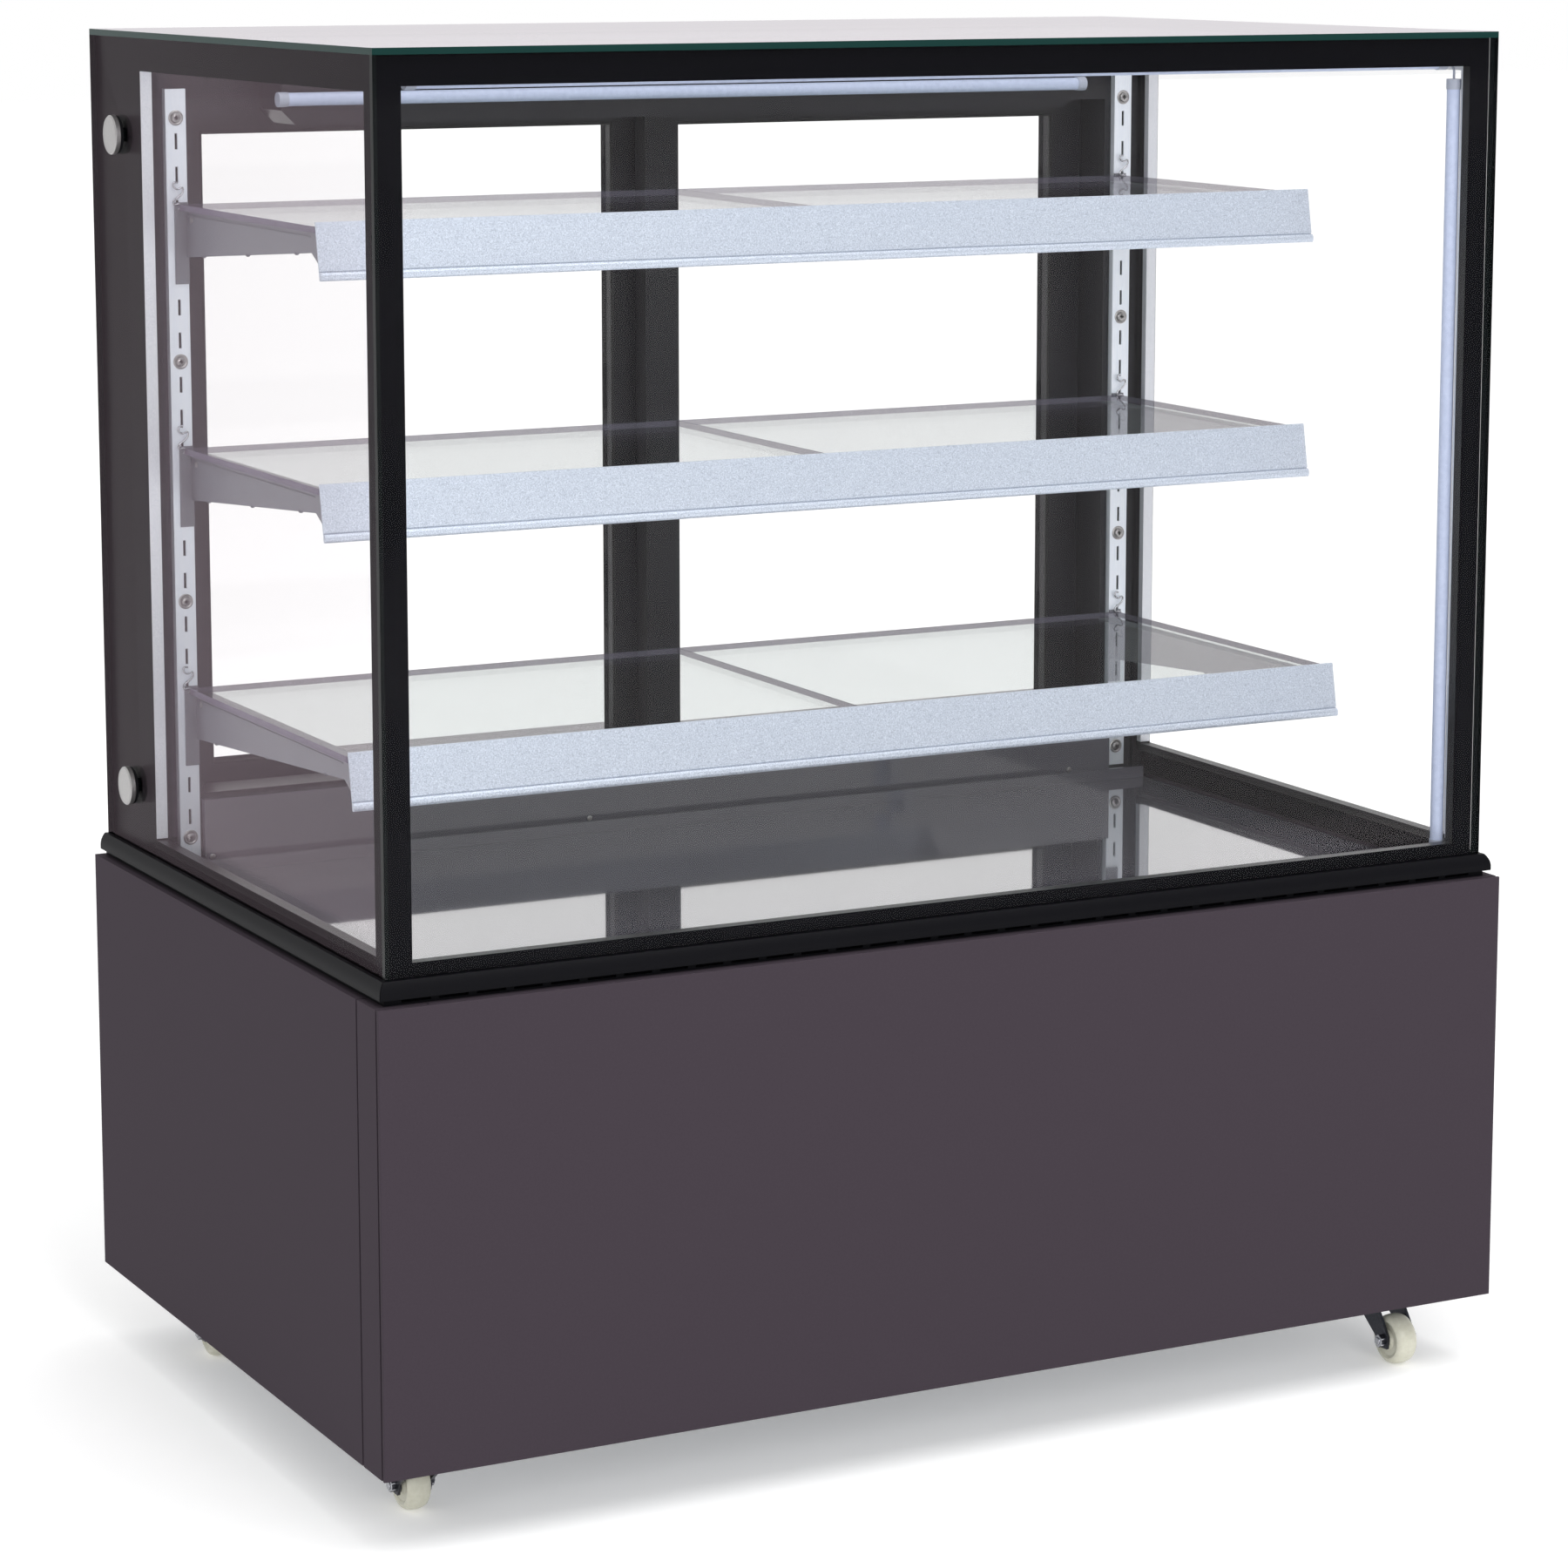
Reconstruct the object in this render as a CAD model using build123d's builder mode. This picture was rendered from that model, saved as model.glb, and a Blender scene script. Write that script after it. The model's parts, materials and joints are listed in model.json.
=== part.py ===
from build123d import *
import math
import os

# Refrigerated bakery display case on castors. Millimetres, +Z up, +X to the right and -Y to the
# front, with the origin on the floor under the middle of the case.

# ---- driving dimensions: the whole case ----
width = 1200.0
depth = 750.0
height = 1336.0
castor_height = 78.0
cabinet_top = 504.0
sheet = 1.5
joint_gap = 0.5

# ---- cabinet panels and frame ----
panel_drop = 3.0
panel_return = 17.0
panel_flange = 50.0
front_panel_thick = 4.0
strip_width = 42.0
strip_gap = 3.0
edge_round = 1.0
rear_inset = 3.0
pan_thick = 2.0
post_tube = 30.0
rail_tube = 30.0
machine_headroom = 235.0
louvre_length = 80.0
louvre_height = 5.0
louvre_pitch = 14.0
louvre_rows = 12
louvre_columns = 3

# ---- trim under the glass ----
vent_height = 6.0
vent_thick = 3.0
vent_slot_length = 28.0
vent_slot_height = 2.4
vent_slot_pitch = 36.0
skirt_height = 16.0
skirt_top_width = 4.0
skirt_bottom_width = 9.0
skirt_foot = 3.0
skirt_bulge = 1.0
skirt_bulge_share = 0.6
vent_end_gap = 20.0

# ---- glass box ----
glass_side_inset = 14.0
glass_front_inset = 17.0
glass_back_inset = 2.0
outer_glass = 6.0
glazing_gap = 12.0
inner_glass = 4.0
spacer_width = 8.0
film = 0.3
front_border_side = 28.5
front_border_top = 33.0
front_border_bottom = 34.0
side_border_front = 35.0
side_border_back = 128.0
side_border_top = 38.0
side_border_bottom = 36.0
top_border = 25.0
clamp_radius = 19.25
clamp_stand = 9.0
clamp_inset_back = 78.0
clamp_inset_top = 101.0
clamp_height_low = 84.0
clamp_collar = 3.0
clamp_collar_step = 2.5
clamp_rim = 1.2

# ---- rear frame and sliding doors ----
rear_frame_depth = 110.0
post_width = 56.5
sill_height = 46.0
upstand_height = 76.0
header_height = 54.0
header_front_height = 80.0
door_thick = 24.0
door_clearance = 2.0
door_overlap = 14.0
door_rail = 36.0
guide_thick = 4.0
guide_reach = 16.0
door_lift = 6.0
door_pane = 4.0
door_unit = 20.0
door_rebate = 8.0
pull_width = 16.0
pull_height = 120.0
pull_depth = 6.0

# ---- deck and air duct ----
deck_thick = 2.0
deck_rear_gap = 15.0
deck_lip = 12.0
duct_cover_depth = 16.0
duct_cover_height = 72.0
canopy_half = 450.0
canopy_depth = 57.0
canopy_height = 85.0
canopy_chamfer = 14.0

# ---- shelves ----
upright_inset = 18.05
upright_width = 21.0
upright_depth = 8.0
upright_wall = 2.0
upright_bottom_gap = 11.0
upright_modules = 3
module_pitch = 238.0
first_screw_height = 21.0
top_screw_rise = 28.0
slot_pitch = 32.4
slot_length = 15.6
slot_width = 2.8
slots_per_module = 7
first_slot_drop = 22.8
top_shelf_rise = 662.0
shelf_pitch = 239.5
shelf_glass_thick = 6.0
shelf_end_gap = 1.5
shelf_fronts = (-105.0, -105.0, -165.0)
rail_height = 53.0
rail_rise = 4.0
rail_lean = 10.0
rail_skin = 2.0
rail_lip = 9.0
rail_ledge = 22.0
bracket_sheet = 2.0
bracket_rear_height = 54.0
bracket_front_height = 26.0
bracket_flange_height = 80.0
bracket_flange_width = 14.0
bracket_ledge = 14.0

# ---- lamps ----
lamp_radius = 6.5
lamp_cap_radius = 7.2
lamp_cap_length = 10.0
lamp_wall_gap = 1.5
corner_lamp_foot = 22.0
corner_lamp_drop = 34.0
front_lamp_end_gap = 41.0
rear_lamp_half = 457.0
rear_lamp_drop = 44.0
lead_radius = 1.2

# ---- cold tub ----
tub_height = 157.5
tub_wall = 40.0
tub_lap = 2.0
coil_half = 400.0
coil_depth = 120.0
coil_height = 84.0
evaporator_fan_radius = 42.0
evaporator_fan_x = 240.0

# ---- machinery ----
compressor_x = -300.0
compressor_y = 40.0
compressor_radius = 78.0
compressor_height = 200.0
mount_height = 16.0
condenser_x = 230.0
condenser_half = 145.0
condenser_depth = 60.0
condenser_height = 230.0
condenser_fan_radius = 85.0
fan_tip_gap = 3.0
fin_gap_count = 18
fin_gap_pitch = 15.0
fin_gap_width = 6.0
fin_gap_reach = 1.9
fan_shaft_radius = 5.0
fan_blade_count = 5
running_clearance = 0.05
pipe_radius = 4.0
pipe_hole_clearance = 3.0
tray_left = -430.0
tray_front = -270.0
tray_length = 250.0
tray_width = 140.0
tray_height = 28.0
tray_wall = 2.0

# ---- controls ----
control_x = 340.0
control_drop = 58.0
control_half_width = 100.0
control_half_height = 30.0
control_plate = 2.0
control_depth = 34.0
control_rim = 8.5
display_half_width = 30.0
display_half_height = 13.0
switch_pocket = 12.0
switch_inner_x = 58.0
switch_outer_x = 80.0
button_size = 12.0
button_travel = 0.8
button_clearance = 0.4
rocker_width = 13.0
rocker_height = 19.0
rocker_angle = 8.0
rocker_clearance = 1.6
gland_bore = 5.2
gland_wall = 6.8
gland_flange = 4.0
gland_clearance = 0.2
gland_x = -480.0
gland_rise = 62.0

# ---- castors ----
castor_inset_x = 76.0
castor_inset_y = 88.0
castor_trail = 35.0
wheel_radius = 25.0
wheel_width = 24.0
wheel_side_gap = 2.0
axle_radius = 4.0
fork_sheet = 3.0
plate_thick = 3.0
plate_length = 72.0
plate_width = 56.0
race_radius = 22.0
race_height = 8.0
kingpin_radius = 6.0
plate_bolt_x = 20.0
plate_bolt_y = 28.0

# ---- places worked out from the dimensions above ----
half_w = width / 2
front_y = -depth / 2
back_y = depth / 2
pan_top = castor_height + pan_thick
panel_bottom = castor_height - panel_drop
flange_z = cabinet_top - sheet
skirt_bottom = cabinet_top + vent_height
glass_x = half_w - glass_side_inset
glass_front = front_y + glass_front_inset
glass_back = back_y - glass_back_inset
glass_top_under = height - outer_glass
inner_x = glass_x - outer_glass - glazing_gap
inner_x_face = inner_x - inner_glass
inner_front = glass_front + outer_glass + glazing_gap
inner_front_face = inner_front + inner_glass
inner_top = glass_top_under - glazing_gap
inner_top_under = inner_top - inner_glass
frame_back = glass_back - 1.0
frame_front = frame_back - rear_frame_depth
post_outer = glass_x - outer_glass - film - joint_gap / 2
opening_x = post_outer - post_width
channel_back = frame_back - guide_thick
rear_door_y = channel_back - door_clearance - door_thick
mid_guide = rear_door_y - door_clearance - guide_thick
front_door_y = mid_guide - door_clearance - door_thick
channel_front = front_door_y - door_clearance
sill_top = cabinet_top + sill_height
header_under = glass_top_under - header_height
door_bottom = sill_top + door_lift
door_top = header_under - door_lift
door_width = opening_x - door_clearance + door_overlap / 2
deck_top = cabinet_top + deck_thick
clamp_y = glass_back - clamp_inset_back
clamp_heights = (cabinet_top + clamp_height_low, height - clamp_inset_top)
clamp_bolt = clamp_radius / 3
cover_front = frame_front - duct_cover_depth
deck_rear_y = cover_front - deck_rear_gap
upright_front = frame_front - upright_depth
upright_x = opening_x + upright_inset
shelf_half = upright_x - shelf_end_gap
shelf_top = deck_top + top_shelf_rise
frame_post_x = half_w - panel_return
frame_post_y = -front_y - panel_return
rail_bottom = pan_top + machine_headroom
tub_half = half_w - panel_flange + tub_lap
tub_depth_half = back_y - panel_flange + tub_lap
tub_bottom = flange_z - tub_height
tub_floor_top = tub_bottom + tub_wall
swivel_x = half_w - castor_inset_x
swivel_y = back_y - castor_inset_y
wheel_centre_z = wheel_radius
control_z = cabinet_top - control_drop
gland_z = castor_height + gland_rise
box_half_x = control_half_width - control_rim
box_half_z = control_half_height - control_rim
fork_half_gap = wheel_width / 2 + wheel_side_gap
race_under = castor_height - plate_thick - race_height
crown_top = race_under - 0.3


def block(low, high, mode=Mode.ADD):
    """Put a block between two opposite corners into the open part."""
    middle = [(a + b) / 2 for a, b in zip(low, high)]
    with Locations(tuple(middle)):
        Box(*[b - a for a, b in zip(low, high)], mode=mode)


def rod(start, end, radius, mode=Mode.ADD):
    """Put a round rod between two points into the open part."""
    reach = Vector(*end) - Vector(*start)
    with BuildSketch(Plane(origin=start, z_dir=reach)) as disc:
        Circle(radius)
    extrude(disc.sketch, amount=reach.length, mode=mode)


def prism(plane, points, amount, mode=Mode.ADD):
    """Extrude a straight-sided outline drawn on a plane into the open part."""
    with BuildSketch(plane) as outline:
        with BuildLine():
            Polyline(*points, close=True)
        make_face()
    extrude(outline.sketch, amount=amount, mode=mode)


def tube_run(points, radii, radius):
    """Sweep a round tube along straight runs joined by arcs into the open part."""
    with BuildLine() as route:
        FilletPolyline(*points, radius=radii)
    line = route.line
    with BuildSketch(Plane(origin=line @ 0, z_dir=line % 0)) as disc:
        Circle(radius)
    sweep(disc.sketch, path=line)


def save(part, name):
    """Label a finished piece and write it to its own STEP file."""
    part.label = name
    export_step(part, f"parts/{name}.step")


os.makedirs("parts", exist_ok=True)

# ================= cabinet =================

with BuildPart() as base_pan:
    block((-frame_post_x, -frame_post_y, castor_height), (frame_post_x, frame_post_y, pan_top))
    for side in (-1, 1):
        edge = side * (frame_post_x - post_tube - 12.0)
        block((min(edge, edge + side * 2), -frame_post_y + 40, pan_top),
              (max(edge, edge + side * 2), frame_post_y - 40, pan_top + 18.0))
save(base_pan.part, "base_pan")

post_in_x = frame_post_x - post_tube
post_in_y = frame_post_y - post_tube
rail_top = rail_bottom + rail_tube
with BuildPart() as frame_members:
    for sx in (-1, 1):
        for sy in (-1, 1):
            xs = sorted((sx * post_in_x, sx * frame_post_x))
            ys = sorted((sy * post_in_y, sy * frame_post_y))
            block((xs[0], ys[0], pan_top), (xs[1], ys[1], flange_z))
    for sx in (-1, 1):
        xs = sorted((sx * (post_in_x + joint_gap), sx * frame_post_x))
        block((xs[0], -post_in_y + joint_gap, rail_bottom), (xs[1], post_in_y - joint_gap, rail_top))
    for sy in (-1, 1):
        ys = sorted((sy * post_in_y, sy * (frame_post_y - joint_gap)))
        block((-post_in_x + joint_gap, ys[0], rail_bottom), (post_in_x - joint_gap, ys[1], rail_top))
save(frame_members.part, "frame_members")

side_front_y = front_y + front_panel_thick + strip_gap + strip_width + strip_gap


def side_tray(side, y_low, y_high):
    """Put a folded side sheet, open towards the inside, into the open part."""
    outer = side * half_w
    inner = side * (half_w - sheet)
    fold = side * (half_w - panel_return)
    skin = sorted((outer, inner))
    block((skin[0], y_low, panel_bottom), (skin[1], y_high, cabinet_top))
    turned = sorted((outer, fold))
    block((turned[0], y_low, panel_bottom), (turned[1], y_low + sheet, cabinet_top))
    block((turned[0], y_high - sheet, panel_bottom), (turned[1], y_high, cabinet_top))
    block((turned[0], y_low, panel_bottom), (turned[1], y_high, panel_bottom + sheet))
    top = sorted((outer, side * (half_w - panel_flange)))
    block((top[0], y_low, flange_z), (top[1], y_high, cabinet_top))


for side, side_name in ((-1, "left"), (1, "right")):
    with BuildPart() as side_panel:
        side_tray(side, side_front_y, back_y)
    save(side_panel.part, f"{side_name}_side_panel")

with BuildPart() as corner_strips:
    for side in (-1, 1):
        side_tray(side, front_y + front_panel_thick + strip_gap, side_front_y - strip_gap)
save(corner_strips.part, "corner_strips")

flange_half = half_w - panel_flange - joint_gap
with BuildPart() as front_panel:
    block((-half_w, front_y, panel_bottom), (half_w, front_y + front_panel_thick, cabinet_top))
    block((-half_w + sheet, front_y + sheet, panel_bottom + sheet),
          (half_w - sheet, front_y + front_panel_thick, cabinet_top - sheet), mode=Mode.SUBTRACT)
    fillet(front_panel.faces().sort_by(Axis.Y)[0].edges(), radius=edge_round)
    block((-flange_half, front_y + 2 * edge_round, flange_z),
          (flange_half, front_y + panel_flange, cabinet_top))
    block((-flange_half, front_y + 2 * edge_round, panel_bottom),
          (flange_half, front_y + panel_return, panel_bottom + sheet))
save(front_panel.part, "front_panel")

rear_half = half_w - panel_return - joint_gap
rear_face = back_y - rear_inset
louvre_x = condenser_x - (louvre_columns - 1) / 2 * (louvre_length + 15.0)
louvre_z = pan_top + 30.0
with BuildPart() as rear_service_panel:
    block((-rear_half, rear_face - sheet, panel_bottom), (rear_half, rear_face, flange_z))
    for side in (-1, 1):
        fold = sorted((side * rear_half, side * (rear_half - sheet)))
        block((fold[0], frame_post_y, panel_bottom), (fold[1], rear_face, flange_z - joint_gap))
    block((-rear_half, frame_post_y + joint_gap, panel_bottom),
          (rear_half, rear_face, panel_bottom + sheet))
    block((-flange_half, back_y - panel_flange, flange_z), (flange_half, rear_face, cabinet_top))
    for column in range(louvre_columns):
        for row in range(louvre_rows):
            x = louvre_x + column * (louvre_length + 15.0)
            z = louvre_z + row * louvre_pitch
            block((x - louvre_length / 2, rear_face - sheet - 1, z),
                  (x + louvre_length / 2, rear_face + 1, z + louvre_height), mode=Mode.SUBTRACT)
    block((control_x - box_half_x - joint_gap, rear_face - sheet - 1, control_z - box_half_z - joint_gap),
          (control_x + box_half_x + joint_gap, rear_face + 1, control_z + box_half_z + joint_gap),
          mode=Mode.SUBTRACT)
    rod((gland_x, rear_face - sheet - 1, gland_z), (gland_x, rear_face + 1, gland_z),
        gland_bore + gland_wall + gland_clearance,
        mode=Mode.SUBTRACT)
save(rear_service_panel.part, "rear_service_panel")

# ================= trim under the glass =================


def slot_row(count, pitch):
    """Centres of a row of equal slots about zero."""
    return [(i - (count - 1) / 2) * pitch for i in range(count)]


vent_out_x = glass_x + vent_thick
vent_out_y = glass_front - vent_thick
slot_mid = cabinet_top + vent_height / 2
front_slots = slot_row(int((2 * glass_x - vent_end_gap) // vent_slot_pitch), vent_slot_pitch)
side_length = frame_back - glass_front
side_slots = slot_row(int((side_length - vent_end_gap) // vent_slot_pitch), vent_slot_pitch)
with BuildPart() as vent_strip:
    block((-vent_out_x, vent_out_y, cabinet_top), (vent_out_x, glass_front, skirt_bottom))
    for side in (-1, 1):
        xs = sorted((side * glass_x, side * vent_out_x))
        block((xs[0], glass_front + joint_gap, cabinet_top), (xs[1], frame_back, skirt_bottom))
    with Locations(*[(x, (vent_out_y + glass_front) / 2, slot_mid) for x in front_slots]):
        Box(vent_slot_length, vent_thick * 2, vent_slot_height, mode=Mode.SUBTRACT)
    middle_y = (glass_front + frame_back) / 2
    with Locations(*[(s * (glass_x + vent_out_x) / 2, middle_y + y, slot_mid)
                     for y in side_slots for s in (-1, 1)]):
        Box(vent_thick * 2, vent_slot_length, vent_slot_height, mode=Mode.SUBTRACT)
save(vent_strip.part, "vent_strip")


def skirt_profile(plane):
    """Section of the moulding: flat back on the glass, bulging outer face."""
    with BuildSketch(plane) as section:
        with BuildLine():
            Line((0, 0), (skirt_bottom_width, 0))
            Line((skirt_bottom_width, 0), (skirt_bottom_width, skirt_foot))
            ThreePointArc((skirt_bottom_width, skirt_foot),
                          (skirt_bottom_width - skirt_bulge, skirt_height * skirt_bulge_share),
                          (skirt_top_width, skirt_height))
            Line((skirt_top_width, skirt_height), (0, skirt_height))
            Line((0, skirt_height), (0, 0))
        make_face()
    return section.sketch


skirt_bars = []
for along, corners in (((1, 0, 0), (-1, 1)), ((0, -1, 0), (-1,)), ((0, 1, 0), (1,))):
    start = (0, glass_front, skirt_bottom) if along[0] else (along[1] * glass_x, 0, skirt_bottom)
    with BuildPart() as skirt_bar:
        outward = Vector(*along).cross(Vector(0, 0, 1))
        bar_plane = Plane(origin=start, x_dir=outward, z_dir=-Vector(*along))
        extrude(skirt_profile(bar_plane), amount=half_w + depth, both=True)
        for side in corners:
            mitre = Vector(side, 1, 0).normalized()
            inside = along[0] != 0
            shift = mitre * (joint_gap / 2 * (-1 if inside else 1))
            corner = Vector(side * glass_x, glass_front, 0)
            split(bisect_by=Plane(origin=corner + shift, z_dir=mitre),
                  keep=Keep.BOTTOM if inside else Keep.TOP)
        split(bisect_by=Plane(origin=(0, frame_back, 0), z_dir=(0, 1, 0)), keep=Keep.BOTTOM)
    skirt_bars.append(skirt_bar.part)
skirt_moulding = Compound(children=skirt_bars)
save(skirt_moulding, "skirt_moulding")

# ================= glass box =================


def mirrored_block(side, low, high, mode=Mode.ADD):
    """Put a block given for the right-hand side on the side named by its sign."""
    xs = sorted((side * low[0], side * high[0]))
    block((xs[0], low[1], low[2]), (xs[1], high[1], high[2]), mode=mode)


with BuildPart() as front_glass:
    block((-glass_x, glass_front, cabinet_top), (glass_x, glass_front + outer_glass, glass_top_under))
    block((-inner_x_face, inner_front, cabinet_top), (inner_x_face, inner_front_face, inner_top))
save(front_glass.part, "front_glass")

for side, side_name in ((-1, "left"), (1, "right")):
    with BuildPart() as side_glass:
        mirrored_block(side, (glass_x - outer_glass, glass_front + outer_glass, cabinet_top),
                       (glass_x, glass_back, glass_top_under))
        mirrored_block(side, (inner_x_face, inner_front, cabinet_top), (inner_x, frame_front, inner_top))
        for z in clamp_heights:
            rod((side * (glass_x - outer_glass - 1), clamp_y, z), (side * (glass_x + 1), clamp_y, z),
                clamp_bolt + joint_gap, mode=Mode.SUBTRACT)
    save(side_glass.part, f"{side_name}_glass")

with BuildPart() as top_glass:
    block((-glass_x, glass_front, glass_top_under), (glass_x, glass_back, height))
    block((-inner_x_face, inner_front_face, inner_top_under), (inner_x_face, frame_front, inner_top))
save(top_glass.part, "top_glass")


def upright_frame(box, place):
    """Four butted bars round the inside of a window given by its low and high corners."""
    (a0, z0), (a1, z1), bar = box
    for low, high in (((a0, z0), (a0 + bar, z1)), ((a1 - bar, z0), (a1, z1)),
                      ((a0 + bar, z0), (a1 - bar, z0 + bar)), ((a0 + bar, z1 - bar), (a1 - bar, z1))):
        place(low, high)


front_window = (glass_x - front_border_side + spacer_width,
                cabinet_top + front_border_bottom - spacer_width,
                min(height - front_border_top + spacer_width, inner_top))
side_window = (glass_front + side_border_front - spacer_width,
               glass_back - side_border_back + spacer_width,
               cabinet_top + side_border_bottom - spacer_width,
               height - side_border_top + spacer_width)
with BuildPart() as glass_spacers:
    upright_frame(((-front_window[0], front_window[1]), (front_window[0], front_window[2]), spacer_width),
                  lambda a, b: block((a[0], glass_front + outer_glass + film, a[1]),
                                      (b[0], inner_front, b[1])))
    for side in (-1, 1):
        upright_frame(((side_window[0], side_window[2]), (side_window[1], side_window[3]), spacer_width),
                      lambda a, b: mirrored_block(side, (inner_x, max(a[0], inner_front), a[1]),
                                                  (glass_x - outer_glass - film, b[0], b[1])))
    top_x = glass_x - outer_glass - film
    top_y = (inner_front, frame_front)
    upright_frame(((-top_x, top_y[0]), (top_x, top_y[1]), spacer_width),
                  lambda a, b: block((a[0], a[1], inner_top), (b[0], b[1], glass_top_under - film)))
save(glass_spacers.part, "glass_spacers")

border_x = glass_x - outer_glass - film
border_front = glass_front + outer_glass
border_side_front = border_front + film
front_clear_x = glass_x - front_border_side
side_clear = (glass_front + side_border_front, glass_back - side_border_back)
top_low = glass_top_under - film
with BuildPart() as front_border:
    block((-border_x, border_front, cabinet_top), (border_x, border_side_front, glass_top_under))
    block((-front_clear_x, border_front - 1, cabinet_top + front_border_bottom),
          (front_clear_x, border_side_front + 1, height - front_border_top), mode=Mode.SUBTRACT)
border_sheets = [front_border.part]
for side in (-1, 1):
    with BuildPart() as side_border:
        mirrored_block(side, (border_x, border_side_front, cabinet_top),
                       (border_x + film, glass_back, glass_top_under))
        mirrored_block(side, (border_x - 1, side_clear[0], cabinet_top + side_border_bottom),
                       (border_x + 1, side_clear[1], height - side_border_top), mode=Mode.SUBTRACT)
        for z in clamp_heights:
            rod((side * (border_x - 1), clamp_y, z), (side * (border_x + 1), clamp_y, z),
                clamp_bolt + joint_gap, mode=Mode.SUBTRACT)
    border_sheets.append(side_border.part)
with BuildPart() as top_sheet_border:
    block((-border_x, border_side_front, top_low), (border_x, glass_back, glass_top_under))
    block((top_border - glass_x, border_front + top_border, top_low - 1),
          (glass_x - top_border, side_clear[1], glass_top_under + 1), mode=Mode.SUBTRACT)
border_sheets.append(top_sheet_border.part)
glass_borders = Compound(children=border_sheets)
save(glass_borders, "glass_borders")

collar_x = glass_x + clamp_collar
with BuildPart() as glass_clamps:
    for side in (-1, 1):
        for z in clamp_heights:
            rod((side * post_outer, clamp_y, z), (side * collar_x, clamp_y, z), clamp_bolt)
            rod((side * glass_x, clamp_y, z), (side * collar_x, clamp_y, z),
                clamp_radius - clamp_collar_step)
            rod((side * collar_x, clamp_y, z), (side * (glass_x + clamp_stand), clamp_y, z), clamp_radius)
    outer_faces = glass_clamps.faces().sort_by(Axis.X)
    fillet([outer_faces[0].edges(), outer_faces[1].edges(),
            outer_faces[-1].edges(), outer_faces[-2].edges()], radius=clamp_rim)
save(glass_clamps.part, "glass_clamps")

# ================= rear frame and sliding doors =================

frame_top = glass_top_under - film - joint_gap / 2
with BuildPart() as rear_posts:
    for side in (-1, 1):
        mirrored_block(side, (opening_x, frame_front, cabinet_top), (post_outer, frame_back, frame_top))
save(rear_posts.part, "rear_posts")

guides = ((mid_guide, mid_guide + guide_thick), (channel_back, frame_back))
with BuildPart() as rear_sill:
    block((-opening_x, frame_front, cabinet_top), (opening_x, channel_front, cabinet_top + upstand_height))
    block((-opening_x, channel_front, cabinet_top), (opening_x, frame_back, sill_top))
    for low, high in guides:
        block((-opening_x, low, sill_top), (opening_x, high, sill_top + guide_reach))
save(rear_sill.part, "rear_sill")

with BuildPart() as header_beam:
    block((-opening_x, frame_front, glass_top_under - header_front_height),
          (opening_x, channel_front, frame_top))
    block((-opening_x, channel_front, header_under), (opening_x, frame_back, frame_top))
    for low, high in guides:
        block((-opening_x, low, header_under - guide_reach), (opening_x, high, header_under))

with BuildPart() as lamp_canopy:
    low = glass_top_under - canopy_height
    prism(Plane(origin=(0, frame_front, 0), x_dir=(1, 0, 0), z_dir=(0, -1, 0)),
          ((canopy_chamfer - canopy_half, low), (canopy_half - canopy_chamfer, low),
           (canopy_half, low + canopy_chamfer), (canopy_half, inner_top_under),
           (-canopy_half, inner_top_under), (-canopy_half, low + canopy_chamfer)), canopy_depth)
rear_header = Compound(children=[header_beam.part, lamp_canopy.part])
save(rear_header, "rear_header")

door_span = {"right": (opening_x - door_clearance - door_width, opening_x - door_clearance, front_door_y),
             "left": (door_clearance - opening_x, door_clearance - opening_x + door_width, rear_door_y)}
pane_inset = door_rail - door_rebate
pane_offset = (door_thick - door_unit) / 2
for side_name, (x_low, x_high, y_low) in door_span.items():
    outer_side = 1 if side_name == "right" else -1
    stile_x = (x_high - door_rail / 2) if outer_side > 0 else (x_low + door_rail / 2)
    pane_faces = ((y_low + pane_offset, y_low + pane_offset + door_pane),
                  (y_low + door_thick - pane_offset - door_pane, y_low + door_thick - pane_offset))
    with BuildPart() as door_frame:
        block((x_low, y_low, door_bottom), (x_high, y_low + door_thick, door_top))
        block((x_low + door_rail, y_low - 1, door_bottom + door_rail),
              (x_high - door_rail, y_low + door_thick + 1, door_top - door_rail), mode=Mode.SUBTRACT)
        for face_low, face_high in pane_faces:
            block((x_low + pane_inset, face_low, door_bottom + pane_inset),
                  (x_high - pane_inset, face_high, door_top - pane_inset), mode=Mode.SUBTRACT)
        pull_z = (door_bottom + door_top) / 2
        block((stile_x - pull_width / 2, y_low + door_thick - pull_depth, pull_z - pull_height / 2),
              (stile_x + pull_width / 2, y_low + door_thick + 1, pull_z + pull_height / 2),
              mode=Mode.SUBTRACT)
        for x in (x_low + 60, x_high - 60):
            block((x - 20, y_low + 4, sill_top + 0.3), (x + 20, y_low + door_thick - 4, door_bottom))
    save(door_frame.part, f"{side_name}_door_frame")
    with BuildPart() as door_glass:
        for face_low, face_high in pane_faces:
            block((x_low + pane_inset, face_low, door_bottom + pane_inset),
                  (x_high - pane_inset, face_high, door_top - pane_inset))
    save(door_glass.part, f"{side_name}_door_glass")

# ================= deck and air duct =================

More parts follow.
